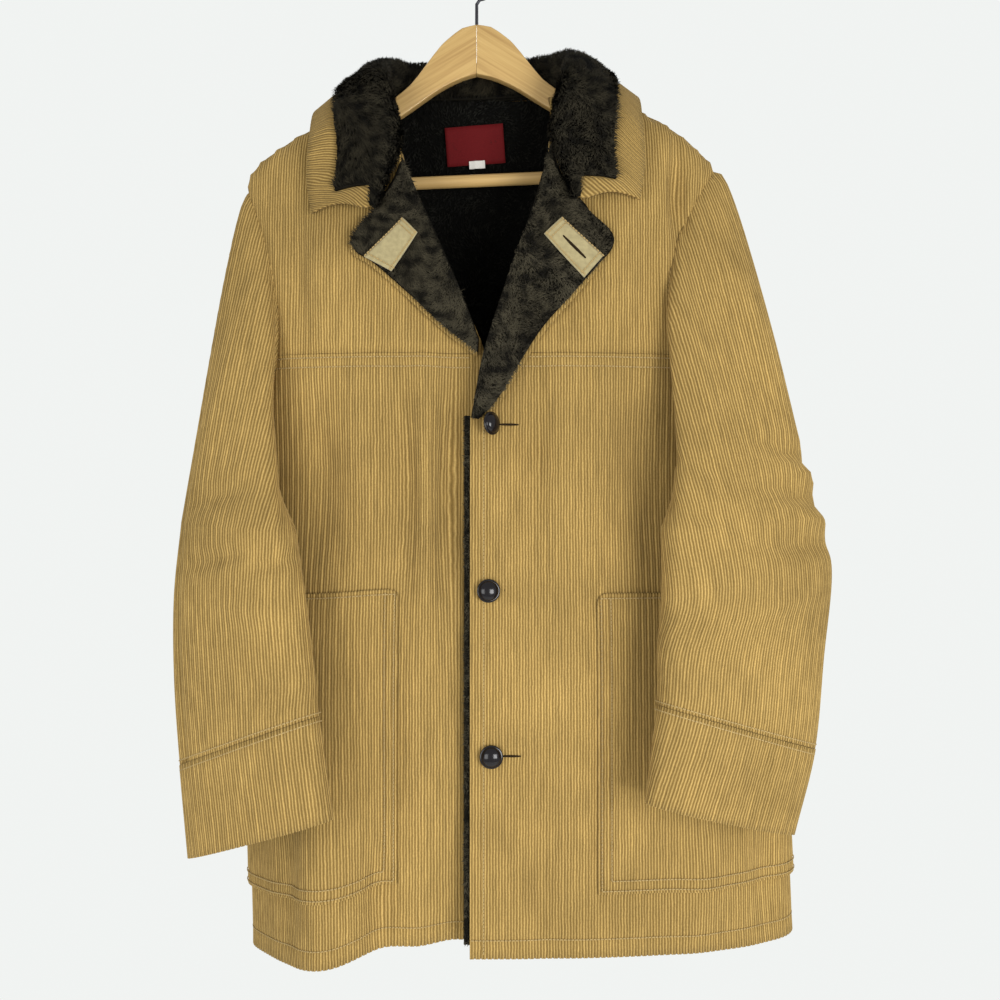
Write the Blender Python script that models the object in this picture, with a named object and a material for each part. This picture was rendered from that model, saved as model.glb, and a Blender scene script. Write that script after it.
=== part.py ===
# Barn coat of wide-wale corduroy with a pile collar and lapels, buttoned, on a wooden hanger.
# Metres, +Z up. The front faces -Y. Left and right are the wearer's, so left is +X.
# The origin is the inside top of the hanger's hook.
import math

import bmesh
import bpy
import numpy as np
from mathutils import Matrix, Vector

for old in list(bpy.data.objects):
    bpy.data.objects.remove(old, do_unlink=True)


def table(columns, *rows):
    return dict(zip(columns.split(), np.array(rows, dtype=float).T))


# Cloth
CLOTH = 0.0025       # corduroy wall
PILE = 0.008         # pile facing, backing and fibres together
LINING = 0.006       # pile lining
WOVEN = 0.001        # label and tab
PATCH = 0.0015       # lapel patch
SEAM = 0.0003        # gap between neighbouring pieces
PILE_GAP = 0.0008    # and between a pile and the cloth under it
LEAN = math.tan(math.radians(2.5))   # the hanger hangs with its left end up

# Body
FRONT_ROUND = 2.4    # squareness of the plan section, front half
BACK_ROUND = 3.0     # and back half
NECK_Z = -0.145      # top of the yokes and back
YOKE_Z = -0.4135     # yoke seam
UNDER_EDGE = 0.035   # edge of the right front, under the left one
BACK_HALF = 0.3      # half of the back, where its hem is read
SECTION_STEPS = 120  # steps from centre front to centre back

# Plan sections from hem to neck: half widths, and depths of front, side line and back
TORSO = table("z left right front side back",
              (-1.030, 0.330, 0.232, -0.090, 0.006, 0.052),
              (-0.850, 0.320, 0.236, -0.086, 0.005, 0.052),
              (-0.650, 0.288, 0.238, -0.081, 0.004, 0.050),
              (-0.500, 0.258, 0.232, -0.075, 0.002, 0.048),
              (-0.400, 0.260, 0.238, -0.068, 0.000, 0.046),
              (-0.300, 0.262, 0.243, -0.057, 0.000, 0.041),
              (-0.240, 0.257, 0.240, -0.046, 0.000, 0.036),
              (-0.217, 0.251, 0.234, -0.041, 0.000, 0.033),
              (-0.193, 0.229, 0.206, -0.035, 0.000, 0.029),
              (-0.175, 0.208, 0.177, -0.031, 0.000, 0.026),
              (-0.158, 0.179, 0.145, -0.026, 0.000, 0.022),
              (-0.145, 0.146, 0.118, -0.022, 0.000, 0.020))

# Hem heights across the right front and the back, and of the left front
HEM = table("x z",
            (-0.330, -1.018), (-0.200, -1.008), (-0.140, -1.001), (-0.090, -0.992),
            (-0.020, -0.991), (0.040, -0.994), (0.120, -0.999), (0.420, -1.000))
HEM_LEFT = -1.002

# Soft folds of the fronts and the back: place, reach and height
FRONT_FOLDS = ((-0.150, -1.060, 0.075, 0.560, 0.042),
               (-0.045, -0.560, 0.028, 0.220, 0.008),
               (0.088, -0.560, 0.030, 0.200, 0.007),
               (0.205, -0.255, 0.016, 0.070, -0.006))
BACK_FOLDS = ((-0.110, -0.820, 0.050, 0.350, 0.012),
              (0.130, -0.880, 0.060, 0.320, 0.014),
              (0.020, -0.600, 0.045, 0.260, 0.007))

# Right front sinks under the left one: depth below the body's form
SUNK = table("z depth", (-1.030, 0.024), (-0.700, 0.014), (-0.440, 0.010), (-0.405, 0.006), (-0.350, 0.0))
SUNK_FROM, SUNK_TO = -0.060, -0.018

# Armholes: heights of shoulder tip and pit, and how far the seam cuts in
ARMHOLE = {1: {"tip": -0.217, "pit": -0.485, "cut": 0.25},
           -1: {"tip": -0.240, "pit": -0.505, "cut": 0.155}}

# Roll line of the lapels, which is also the free edge of the left front below the opening
ROLL = table("z left right",
             (-0.480, -0.0050, 0.0085), (-0.455, 0.0005, 0.0085), (-0.410, 0.0105, 0.0085),
             (-0.367, 0.0255, -0.0100), (-0.323, 0.0395, -0.0280), (-0.282, 0.0535, -0.0460),
             (-0.243, 0.0646, -0.0637), (-0.205, 0.0740, -0.0765), (-0.165, 0.0755, -0.0855),
             (-0.140, 0.0750, -0.0880))

# Lapels: roll line and outer edge from the notch down
LAPEL = {1: table("v roll_x roll_z out_x out_z",
                  (0.00, 0.0728, -0.2157, 0.0943, -0.2590), (0.10, 0.0646, -0.2434, 0.1380, -0.2960),
                  (0.17, 0.0597, -0.2620, 0.1387, -0.3116), (0.25, 0.0537, -0.2800, 0.1250, -0.3280),
                  (0.40, 0.0410, -0.3135, 0.0977, -0.3595), (0.58, 0.0243, -0.3632, 0.0683, -0.3937),
                  (0.74, 0.0106, -0.4075, 0.0439, -0.4320), (0.92, -0.0010, -0.4630, 0.0214, -0.4670),
                  (1.00, -0.0040, -0.4790, 0.0070, -0.4810)),
         -1: table("v roll_x roll_z out_x out_z",
                   (0.00, -0.0707, -0.2260, -0.0885, -0.2590), (0.14, -0.0637, -0.2430, -0.1245, -0.3010),
                   (0.24, -0.0549, -0.2630, -0.1230, -0.3135), (0.40, -0.0430, -0.2900, -0.1048, -0.3262),
                   (0.62, -0.0246, -0.3320, -0.0686, -0.3585), (0.84, -0.0050, -0.3800, -0.0305, -0.3937),
                   (1.00, 0.0030, -0.4020, 0.0020, -0.4190))}
LAPEL_SEAT = 0.0004
LAPEL_RISE, LAPEL_RISE_WIDTH = 0.008, 0.055   # roll of the lapel, which fades out at its foot
LAPEL_FOOT, LAPEL_FADE = -0.480, 0.060
LAPEL_EDGE = 0.004   # corduroy that shows round the pile

# Lapel patches: corners at the inner top, inner bottom, outer bottom and outer top
PATCH_CORNERS = {1: ((0.0844, -0.2826), (0.0670, -0.3000), (0.1060, -0.3420), (0.1250, -0.3200)),
                 -1: ((-0.0708, -0.2835), (-0.0562, -0.2990), (-0.0814, -0.3360), (-0.1085, -0.3210))}

# Collar sections from centre back to the front end: seam, roll and outer edge
COLLAR = table("k seam_x seam_y seam_z roll_x roll_y roll_z edge_x edge_y edge_z puff",
               (0, 0.000, 0.022, -0.139, 0.000, 0.040, -0.098, 0.000, 0.038, -0.192, 0.008),
               (1, 0.070, 0.020, -0.136, 0.066, 0.030, -0.099, 0.128, 0.043, -0.182, 0.009),
               (2, 0.100, -0.002, -0.134, 0.096, -0.004, -0.106, 0.163, 0.005, -0.147, 0.010),
               (3, 0.088, -0.036, -0.160, 0.093, -0.048, -0.142, 0.167, -0.036, -0.188, 0.010),
               (4, 0.080, -0.047, -0.206, 0.085, -0.060, -0.197, 0.169, -0.042, -0.228, 0.008),
               (5, 0.098, -0.056, -0.248, 0.103, -0.064, -0.241, 0.163, -0.050, -0.267, 0.004))
COLLAR_END = 4.988          # last station of the collar, and of the pile on it
PILE_END, PILE_EDGE = 4.708, 0.88
BORDER_ENDS = (4.748, 4.868, COLLAR_END)   # stations and lines of the corduroy turned over round the pile
BORDER_LINES = (0.90, 0.95, 1.0)
BORDER_RISE = 0.004

# Sleeves below the armhole: outer and inner fold of each section, and half its thickness
SLEEVE = {1: table("row out_x out_y out_z in_x in_y in_z half",
                   (0, 0.337, -0.056, -0.575, 0.179, -0.124, -0.585, 0.036),
                   (1, 0.347, -0.060, -0.628, 0.178, -0.128, -0.652, 0.036),
                   (2, 0.336, -0.075, -0.711, 0.1725, -0.136, -0.699, 0.033),
                   (3, 0.325, -0.085, -0.7985, 0.171, -0.141, -0.748, 0.031),
                   (4, 0.303, -0.095, -0.877, 0.160, -0.145, -0.837, 0.028)),
          -1: table("row out_x out_y out_z in_x in_y in_z half",
                    (0, -0.282, -0.058, -0.580, -0.174, -0.124, -0.588, 0.035),
                    (1, -0.288, -0.070, -0.652, -0.161, -0.136, -0.642, 0.034),
                    (2, -0.285, -0.085, -0.730, -0.149, -0.150, -0.712, 0.032),
                    (3, -0.278, -0.092, -0.813, -0.143, -0.157, -0.756, 0.030),
                    (4, -0.270, -0.095, -0.900, -0.129, -0.162, -0.8475, 0.028))}
SLEEVE_ROUND = 2.3
SLEEVE_TWIST = 0.10          # turn of the sleeve in its armhole
# Fullness of the crown: place in turns from the shoulder tip, reach, and push outward, back and up
CROWN_FOLDS = {1: ((0.00, 0.24, 0.008, 0.0, 0.0), (0.33, 0.22, -0.012, -0.010, 0.0)),
               -1: ((0.00, 0.24, 0.006, 0.0, 0.0), (0.33, 0.22, -0.004, -0.010, 0.0))}
CROWN_CLEAR = 0.0045         # least way between the body form and the middle of the sleeve's wall
CROWN_RAMP, SEAT_RAMP = 0.14, 0.17   # shares of the crown where that way and the seat's lift change
FLANK = 0.03                 # depth behind the side line where that way is given up
ARM_SEAT_OUT = 0.0004        # gaps at the armhole seam, and the wider one under the arm and behind
ARM_SEAT_IN, ARM_SEAT_BEHIND = 0.0012, 0.0045
BEHIND_FROM, BEHIND_RAMP = 0.38, 0.10
ELBOW_SEAM = {1: -0.05, -1: 0.12}   # places of the sleeve seams, in turns from the outer fold
INSEAM = 0.56
CUFF_ROW, CUFF_GAP = 3.0, 0.002   # row of the cuff's seam, and half its gap in rows
SLEEVE_GIRTH = 0.4

# Pockets: inner edge, and the levels of bottom and top between hem and yoke seam
POCKET_INNER = {1: 0.1200, -1: -0.0760}
POCKET_LOW, POCKET_HIGH = 0.104, 0.598

# Pile strip along the edge of the left front
STRIP_X, STRIP_WIDTH, STRIP_THICK = -0.012, 0.024, 0.005
STRIP_TOP, STRIP_LIFT = -0.490, 0.002   # top, and way over the hem

# Neck lining and label
LINING_HALF, LINING_LOW, LINING_HIGH = 0.120, -0.470, -0.152
LINING_GAP = 0.0012
LINING_SHARE = 0.62          # most of the half back that it covers
LABEL_X, LABEL_Z, LABEL_WIDTH, LABEL_HEIGHT = -0.002, -0.182, 0.061, 0.040
LABEL_TILT = math.radians(4)
TAB_X, TAB_WIDTH, TAB_HEIGHT = 0.000, 0.016, 0.008

# Buttons on the left front: place, and lean of the top one
BUTTONS = table("x z lean", (0.0137, -0.4850, 50), (0.0128, -0.6473, 8), (0.0157, -0.8076, 3))
BUTTON_RADIUS, BUTTON_RIM, BUTTON_DOME = 0.0115, 0.0022, 0.0050
RIM_INSET, DOME_INSET = 0.0010, 0.0018
SHANK_RADIUS, SHANK = 0.0040, 0.0022

# Hanger
ARM_THICK = 0.012
ARM = table("x top under",
            (0.0000, -0.0650, -0.1160), (0.0150, -0.0680, -0.1200), (0.0350, -0.0830, -0.1290),
            (0.0692, -0.1248, -0.1510), (0.0900, -0.1410, -0.1640), (0.1500, -0.1720, -0.1980),
            (0.1860, -0.1920, -0.2160), (0.1880, -0.1930, -0.2360), (0.2220, -0.2140, -0.2420))
BAR_Z, BAR_RADIUS, BAR_HALF = -0.226, 0.0065, 0.1855
WIRE_RADIUS, HOOK_RADIUS = 0.00175, 0.0180
HOOK_FOOT, HOOK_NECK, HOOK_BEND = -0.0645, -0.0420, (0.15, 4.4)   # heights, and the bend's start and end


def track(tab, column, at):
    # Smooth curve through a column of a table, against its first column
    key = next(iter(tab.values()))
    value = tab[column]
    slope = np.gradient(value, key)
    at = np.clip(at, key[0], key[-1])
    i = np.clip(np.searchsorted(key, at, side="right") - 1, 0, len(key) - 2)
    span = key[i + 1] - key[i]
    t = (at - key[i]) / span
    ends = value[i] * (1 + 2 * t) * (1 - t) ** 2 + value[i + 1] * t * t * (3 - 2 * t)
    return ends + span * t * (1 - t) * (slope[i] * (1 - t) - slope[i + 1] * t)


def bell(t):
    return np.where(np.abs(t) < 1, np.cos(np.clip(t, -1, 1) * np.pi / 2) ** 2, 0.0)


def ramp(t):
    t = np.clip(t, 0, 1)
    return t * t * (3 - 2 * t)


def unit(v):
    return v / np.linalg.norm(v, axis=-1, keepdims=True)


def folds(rows, x, z):
    return sum(out * bell((x - at) / wide) * bell((z - mid) / tall) for at, mid, wide, tall, out in rows)


# Body form

def half_section(z, side):
    # Plan sections at heights z, from centre front round one side to centre back, with the cloth's run
    z, side = z[:, None], side[:, None]
    wide = np.where(side > 0, track(TORSO, "left", z), track(TORSO, "right", z))
    line = track(TORSO, "side", z)
    turn = np.linspace(0, np.pi, SECTION_STEPS + 1)[None, :]
    ahead = turn <= np.pi / 2
    power = 2 / np.where(ahead, FRONT_ROUND, BACK_ROUND)
    x = side * wide * np.sin(turn).clip(0) ** power
    deep = np.where(ahead, track(TORSO, "front", z), track(TORSO, "back", z)) - line
    y = line + deep * np.abs(np.cos(turn)) ** power
    y = y + np.where(ahead, -folds(FRONT_FOLDS, x, z), folds(BACK_FOLDS, x, z))
    run = np.hypot(np.diff(x, axis=1), np.diff(y, axis=1)).cumsum(axis=1)
    return x, y, np.hstack([np.zeros_like(z), run])


def run_at(z, side, turn):
    # Length of cloth from centre front to a turn of the section
    z, turn = (a.ravel() for a in np.broadcast_arrays(np.asarray(z, float), np.asarray(turn, float)))
    run = half_section(z, np.full(z.shape, float(side)))[2]
    place = turn / np.pi * SECTION_STEPS
    i = np.clip(place.astype(int), 0, SECTION_STEPS - 1)
    at = np.arange(len(z))
    return run[at, i] + (run[at, i + 1] - run[at, i]) * (place - i)


def torso(reach, z):
    # Outer surface at a reach along the cloth from centre front; right of the wearer is negative
    reach, z = np.broadcast_arrays(np.asarray(reach, float), np.asarray(z, float))
    shape, reach, z = reach.shape, reach.ravel(), z.ravel()
    x, y, run = half_section(z, np.where(reach < 0, -1.0, 1.0))
    far = np.abs(reach)
    i = (run[:, 1:-1] < far[:, None]).sum(axis=1)
    at = np.arange(len(z))
    t = np.clip((far - run[at, i]) / (run[at, i + 1] - run[at, i]), 0, 1)
    point = [x[at, i] * (1 - t) + x[at, i + 1] * t, y[at, i] * (1 - t) + y[at, i + 1] * t, z]
    return np.stack(point, axis=-1).reshape(shape + (3,))


def facing(reach, z, step=0.002):
    # Outward normal of the body form
    across = torso(reach + step, z) - torso(reach - step, z)
    up = torso(reach, z + step) - torso(reach, z - step)
    return unit(np.cross(across, up))


def sunk(x, z):
    return track(SUNK, "depth", z) * ramp((x - SUNK_FROM) / (SUNK_TO - SUNK_FROM))


def cut_in(z, side):
    arm = ARMHOLE[side]
    depth = np.clip((arm["tip"] - z) / (arm["tip"] - arm["pit"]), 0, 1)
    return 1 - arm["cut"] * np.sin(np.pi * depth) ** 0.8


def front_edge(z, side):
    # Run from centre front to the side seam, armhole or shoulder seam
    return run_at(z, side, np.arcsin(cut_in(z, side) ** (FRONT_ROUND / 2)))


def back_edge(z, side):
    return run_at(z, side, np.pi - np.arcsin(cut_in(z, side) ** (BACK_ROUND / 2)))


# Solids

def finish(name, colour, rough, metal=0.0):
    material = bpy.data.materials.new(name)
    material.use_nodes = True
    shader = material.node_tree.nodes["Principled BSDF"]
    shader.inputs["Base Color"].default_value = (*colour, 1)
    shader.inputs["Roughness"].default_value = rough
    shader.inputs["Metallic"].default_value = metal
    return material


CORDUROY = finish("corduroy", (0.420, 0.275, 0.090), 0.9)
PILE_DARK = finish("pile", (0.030, 0.026, 0.018), 0.95)
LINING_DARK = finish("lining", (0.012, 0.011, 0.008), 0.95)
TAN = finish("patch_tan", (0.420, 0.350, 0.190), 0.9)
RED = finish("label_red", (0.130, 0.010, 0.012), 0.7)
WHITE = finish("tab_white", (0.780, 0.760, 0.720), 0.7)
HORN = finish("button_horn", (0.008, 0.007, 0.008), 0.15)
WOOD = finish("wood", (0.640, 0.440, 0.190), 0.45)
STEEL = finish("wire", (0.060, 0.060, 0.065), 0.35, 1.0)


def add(name, bm, material):
    bmesh.ops.recalc_face_normals(bm, faces=bm.faces)
    mesh = bpy.data.meshes.new(name)
    bm.to_mesh(mesh)
    bm.free()
    mesh.materials.append(material)
    mesh.shade_smooth()
    mesh.set_sharp_from_angle(angle=math.radians(40))
    piece = bpy.data.objects.new(name, mesh)
    bpy.context.collection.objects.link(piece)
    return piece


def shell(name, material, inside, outside, wrap=False):
    # Closed wall between two grids of points, rows by columns
    bm = bmesh.new()
    inner, outer = ([[bm.verts.new(p) for p in row] for row in grid] for grid in (inside, outside))
    rows, cols = inside.shape[:2]
    steps = [(c, (c + 1) % cols) for c in range(cols if wrap else cols - 1)]
    for r in range(rows - 1):
        for c, d in steps:
            bm.faces.new((outer[r][c], outer[r][d], outer[r + 1][d], outer[r + 1][c]))
            bm.faces.new((inner[r][c], inner[r + 1][c], inner[r + 1][d], inner[r][d]))
    for r in (0, rows - 1):
        for c, d in steps:
            bm.faces.new((outer[r][c], outer[r][d], inner[r][d], inner[r][c]))
    for c in () if wrap else (0, cols - 1):
        for r in range(rows - 1):
            bm.faces.new((outer[r][c], outer[r + 1][c], inner[r + 1][c], inner[r][c]))
    return add(name, bm, material)


def on_body(name, material, reach, z, low, high):
    # Wall on the body form between two heights over it
    point, out = torso(reach, z), facing(reach, z)
    low, high = (np.broadcast_to(h, reach.shape)[..., None] for h in (low, high))
    return shell(name, material, point + low * out, point + high * out)


def level(value):
    # Edge that stays at one height or one reach
    return lambda along: np.full(np.shape(along), value)


def hem(reach):
    return track(HEM, "z", reach)


def spread(stops, steps, low, high, levels):
    # Grid of reaches and heights: columns fill the bands between the stops, rows lie between two cross edges
    u = np.concatenate([[0]] + [band + np.linspace(0, 1, n + 1)[1:] for band, n in enumerate(steps)])[None, :]
    v = np.asarray(levels, float)[:, None]
    z = low(0 * u) * (1 - v) + high(0 * u) * v
    for _ in range(2):
        lines = np.stack([stop(z.ravel()).reshape(z.shape) for stop in stops])
        band = np.clip(u.astype(int), 0, len(steps) - 1) + np.zeros(z.shape, int)
        near, far = (np.take_along_axis(lines, b[None], 0)[0] for b in (band, band + 1))
        reach = near + (far - near) * (u - band)
        z = low(reach) * (1 - v) + high(reach) * v
    return reach, z


FRONT_LEVELS = (0, 0.05, POCKET_LOW, 0.2, 0.3, 0.4, 0.5, POCKET_HIGH, 0.68, 0.76, 0.82, 0.85, 0.878,
                0.905, 0.95, 1)
BACK_LEVELS = (0, 0.08, 0.17, 0.26, 0.35, 0.44, 0.52, 0.565, 0.59, 0.62, 0.67, 0.73, 0.79, 0.85, 0.9,
               0.95, 1)
POCKET_ROWS = slice(FRONT_LEVELS.index(POCKET_LOW), FRONT_LEVELS.index(POCKET_HIGH) + 1)
POCKET_STEPS, CENTRE_STEPS = 8, 6
YOKE_LEVELS = (0, 0.13, 0.27, 0.41, 0.55, 0.66, 0.74, 0.82, 0.9, 1)


def left_side(h):
    return front_edge(h, 1) - SEAM / 2


def right_side(h):
    return SEAM / 2 - front_edge(h, -1)


def left_roll(h):
    return track(ROLL, "left", h)


def right_roll(h):
    return track(ROLL, "right", h)


def make_fronts():
    # Lower fronts, and the patch pockets made from their points
    reach, z = spread((left_roll, level(POCKET_INNER[1]), left_side), (CENTRE_STEPS, POCKET_STEPS),
                      level(HEM_LEFT), level(YOKE_Z - SEAM / 2), FRONT_LEVELS)
    on_body("front_left", CORDUROY, reach, z, -CLOTH, 0)
    patch = POCKET_ROWS, slice(CENTRE_STEPS, None)
    on_body("pocket_left", CORDUROY, reach[patch], z[patch], SEAM, SEAM + CLOTH)
    reach, z = spread((right_side, level(POCKET_INNER[-1]), level(UNDER_EDGE)), (POCKET_STEPS, CENTRE_STEPS),
                      hem, level(YOKE_Z - SEAM / 2), FRONT_LEVELS)
    on_body("front_right", CORDUROY, reach, z, -CLOTH - sunk(reach, z), -sunk(reach, z))
    patch = POCKET_ROWS, slice(0, POCKET_STEPS + 1)
    on_body("pocket_right", CORDUROY, reach[patch], z[patch], SEAM, SEAM + CLOTH)


def make_yokes():
    edges = level(YOKE_Z + SEAM / 2), level(NECK_Z)
    reach, z = spread((left_roll, left_side), (8,), *edges, YOKE_LEVELS)
    on_body("yoke_left", CORDUROY, reach, z, -CLOTH, 0)
    reach, z = spread((right_side, right_roll), (8,), *edges, YOKE_LEVELS)
    on_body("yoke_right", CORDUROY, reach, z, -CLOTH - sunk(reach, z), -sunk(reach, z))


def back_grid(half_width, low, high, cols, levels):
    # Reaches across the back, from the right edge over centre back to the left edge
    u = np.linspace(-1, 1, cols)[None, :]
    v = np.asarray(levels, float)[:, None]
    z = low(u * BACK_HALF) * (1 - v) + high(u * BACK_HALF) * v
    side = np.where(u < 0, -1, 1) + 0 * z
    reach = np.zeros(z.shape)
    for s in (-1, 1):
        here = side == s
        centre = run_at(z[here], s, np.pi) - SEAM
        far = half_width(z[here], s, centre)
        reach[here] = s * (centre - far * np.abs((u + 0 * z)[here]))
    return reach, z


def make_back():
    reach, z = back_grid(lambda h, s, centre: centre - back_edge(h, s) - SEAM / 2,
                         hem, level(NECK_Z), 19, BACK_LEVELS)
    on_body("back", CORDUROY, reach, z, -CLOTH, 0)
    reach, z = back_grid(lambda h, s, centre: np.minimum(LINING_HALF,
                                                         LINING_SHARE * (centre - back_edge(h, s))),
                         level(LINING_LOW), level(LINING_HIGH), 9, np.linspace(0, 1, 8))
    on_body("lining_back", LINING_DARK, reach, z, -CLOTH - LINING_GAP - LINING, -CLOTH - LINING_GAP)


def make_label():
    over = CLOTH + 2 * LINING_GAP + LINING
    u, v = np.meshgrid(np.linspace(-1, 1, 5), np.linspace(-1, 1, 3))
    sizes = (("neck_label", RED, LABEL_X, LABEL_Z, LABEL_WIDTH, LABEL_HEIGHT, over),
             ("label_tab", WHITE, TAB_X, LABEL_Z - LABEL_HEIGHT / 2, TAB_WIDTH, TAB_HEIGHT,
              over + WOVEN + SEAM))
    for name, material, x, z, width, height, depth in sizes:
        across, up = u * width / 2, v * height / 2
        at_x = x + across * math.cos(LABEL_TILT) - up * math.sin(LABEL_TILT)
        at_z = z + across * math.sin(LABEL_TILT) + up * math.cos(LABEL_TILT)
        side = np.where(at_x < 0, -1, 1)
        centre = np.where(side < 0, *(run_at(at_z, s, np.pi).reshape(at_z.shape) for s in (-1, 1))) - SEAM
        on_body(name, material, side * (centre - np.abs(at_x)), at_z, -depth - WOVEN, -depth)


def make_strip():
    reach, z = spread((level(STRIP_X), level(STRIP_X + STRIP_WIDTH)), (3,),
                      level(HEM_LEFT + STRIP_LIFT), level(STRIP_TOP), np.linspace(0, 1, 12))
    on_body("edge_pile", PILE_DARK, reach, z, -CLOTH - SEAM - STRIP_THICK, -CLOTH - SEAM)


# Lapels

def lapel_seat(x, z, side):
    # Height of the lapel's underside over the body form
    roll = track(ROLL, "left" if side > 0 else "right", z)
    near = np.clip(1 - np.abs(x - roll) / LAPEL_RISE_WIDTH, 0, 1)
    rise = LAPEL_RISE * near ** 2 * ramp((z - LAPEL_FOOT) / LAPEL_FADE)
    return LAPEL_SEAT + rise - (sunk(x, z) if side < 0 else 0)


def make_lapels():
    v = np.array((0, 0.05, 0.1, 0.17, 0.25, 0.35, 0.47, 0.6, 0.74, 0.88, 1))[:, None]
    for side, name in ((1, "left"), (-1, "right")):
        line = {c: track(LAPEL[side], c, v) for c in ("roll_x", "roll_z", "out_x", "out_z")}
        width = np.hypot(line["out_x"] - line["roll_x"], line["out_z"] - line["roll_z"])
        for piece, material, trim, low, high in (
                ("lapel", CORDUROY, 0, 0, CLOTH),
                ("lapel_pile", PILE_DARK, LAPEL_EDGE, CLOTH + PILE_GAP, CLOTH + PILE)):
            u = np.linspace(0, 1, 7)[None, :] * (1 - np.minimum(trim / width, 0.3))
            x = line["roll_x"] * (1 - u) + line["out_x"] * u
            z = line["roll_z"] * (1 - u) + line["out_z"] * u
            seat = lapel_seat(x, z, side)
            on_body(f"{piece}_{name}", material, x, z, seat + low, seat + high)
        corner = np.array(PATCH_CORNERS[side])
        u, w = np.meshgrid(np.linspace(0, 1, 5), np.linspace(0, 1, 3))
        u, w = u[..., None], w[..., None]
        spot = (corner[0] * (1 - w) + corner[1] * w) * (1 - u) + (corner[3] * (1 - w) + corner[2] * w) * u
        seat = lapel_seat(spot[..., 0], spot[..., 1], side) + CLOTH + PILE + SEAM
        on_body(f"lapel_patch_{name}", TAN, spot[..., 0], spot[..., 1], seat, seat + PATCH)


# Collar

def collar_point(k, w):
    # Middle of the collar: k runs from the right front end over centre back to the left, w from seam to edge
    side = np.where(k < 0, -1.0, 1.0)
    seam, roll, edge = (np.stack([track(COLLAR, f"{line}_{axis}", np.abs(k)) for axis in "xyz"], axis=-1)
                        for line in ("seam", "roll", "edge"))
    away = unit((edge - seam) * np.array((1, 1, 0))) + np.array((0, 0, 0.6))
    puff = track(COLLAR, "puff", np.abs(k))[..., None] * away
    first = seam + (roll - seam) * 4 / 3
    second = edge + (roll - edge) * 4 / 3 + puff
    w = w[..., None]
    point = seam * (1 - w) ** 3 + 3 * first * w * (1 - w) ** 2 + 3 * second * w * w * (1 - w) + edge * w ** 3
    point[..., 0] *= side
    point[..., 2] += LEAN * point[..., 0]
    return point


def collar_facing(k, w, step=0.01):
    along = collar_point(k + step, w) - collar_point(k - step, w)
    across = collar_point(k, np.clip(w + step, 0, 1)) - collar_point(k, np.clip(w - step, 0, 1))
    return unit(np.cross(along, across))


def make_collar():
    ends = np.array(BORDER_ENDS)
    k = np.concatenate([-ends[::-1], np.linspace(-PILE_END, PILE_END, 23), ends])[None, :]
    w = np.concatenate([np.linspace(0.02, PILE_EDGE, 9), BORDER_LINES])[:, None]
    k, w = np.broadcast_arrays(k, w)
    border = (np.abs(k) >= BORDER_ENDS[0]) | (w >= BORDER_LINES[0])
    middle, out = collar_point(k, w), collar_facing(k, w)
    top = np.where(border, BORDER_RISE, 0.0)[..., None]
    shell("collar", CORDUROY, middle - CLOTH * out, middle + top * out)
    covered = ~border.all(axis=1), ~border.all(axis=0)
    k, w, middle, out = (a[covered[0]][:, covered[1]] for a in (k, w, middle, out))
    shell("collar_pile", PILE_DARK, middle + PILE_GAP * out, middle + PILE * out)


# Sleeves

def armhole(phi, side):
    # Armhole edge, in turns from the shoulder tip round the front
    arm = ARMHOLE[side]
    z = arm["tip"] + (arm["pit"] - arm["tip"]) * (1 - np.cos(2 * np.pi * phi)) / 2
    front, back = (edge(z, side).reshape(z.shape) for edge in (front_edge, back_edge))
    return side * np.where(phi % 1 <= 0.5, front, back), z


def armhole_start(phi, side, step=0.004):
    # Where the sleeve starts, just outside and inside the armhole edge
    point = torso(*armhole(phi, side))
    out = facing(*armhole(phi, side))
    along = unit(torso(*armhole(phi + step, side)) - torso(*armhole(phi - step, side)))
    inward = np.cross(out, along)
    middle = torso(*armhole(np.linspace(0, 1, 24, endpoint=False), side)).mean(axis=0)
    inward = inward * np.sign((inward * (middle - point)).sum(axis=-1, keepdims=True))
    behind = ramp((phi % 1 - BEHIND_FROM) / BEHIND_RAMP) * ramp((1 - phi % 1) / BEHIND_RAMP)
    seat = ARM_SEAT_IN + (ARM_SEAT_BEHIND - ARM_SEAT_IN) * behind[..., None]
    return point + ARM_SEAT_OUT * out + seat * inward, out


def sleeve_section(row, phi, side):
    get = {c: track(SLEEVE[side], c, row) for c in SLEEVE[side]}
    outer = np.stack([get["out_x"], get["out_y"], get["out_z"]], axis=-1)
    inner = np.stack([get["in_x"], get["in_y"], get["in_z"]], axis=-1)
    major = (outer - inner) / 2
    minor = side * unit(np.cross(np.array((0.0, 0.0, -1.0)), major)) * get["half"][..., None]
    cos, sin = np.cos(2 * np.pi * phi), np.sin(2 * np.pi * phi)
    power = 2 / SLEEVE_ROUND
    a = (np.sign(cos) * np.abs(cos) ** power)[..., None]
    b = (np.sign(sin) * np.abs(sin) ** power)[..., None]
    return (outer + inner) / 2 + major * a + minor * b


def clear_of_body(point, side, gap):
    # Points moved straight out of the body's plan section, to stand a gap away from it
    x, y, z = point[..., 0], point[..., 1], point[..., 2]
    line = track(TORSO, "side", z)
    ahead = y < line
    power = np.where(ahead, FRONT_ROUND, BACK_ROUND)
    wide = track(TORSO, "left" if side > 0 else "right", z) + gap
    deep = np.abs(np.where(ahead, track(TORSO, "front", z), track(TORSO, "back", z)) - line) + gap
    size = (np.abs(x / wide) ** power + np.abs((y - line) / deep) ** power) ** (1 / power)
    grow = 1 + np.maximum(1 / np.maximum(size, 0.2) - 1, 0) * ramp((line - y) / FLANK + 1)
    return np.stack([x * grow, line + (y - line) * grow, z], axis=-1)


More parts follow.
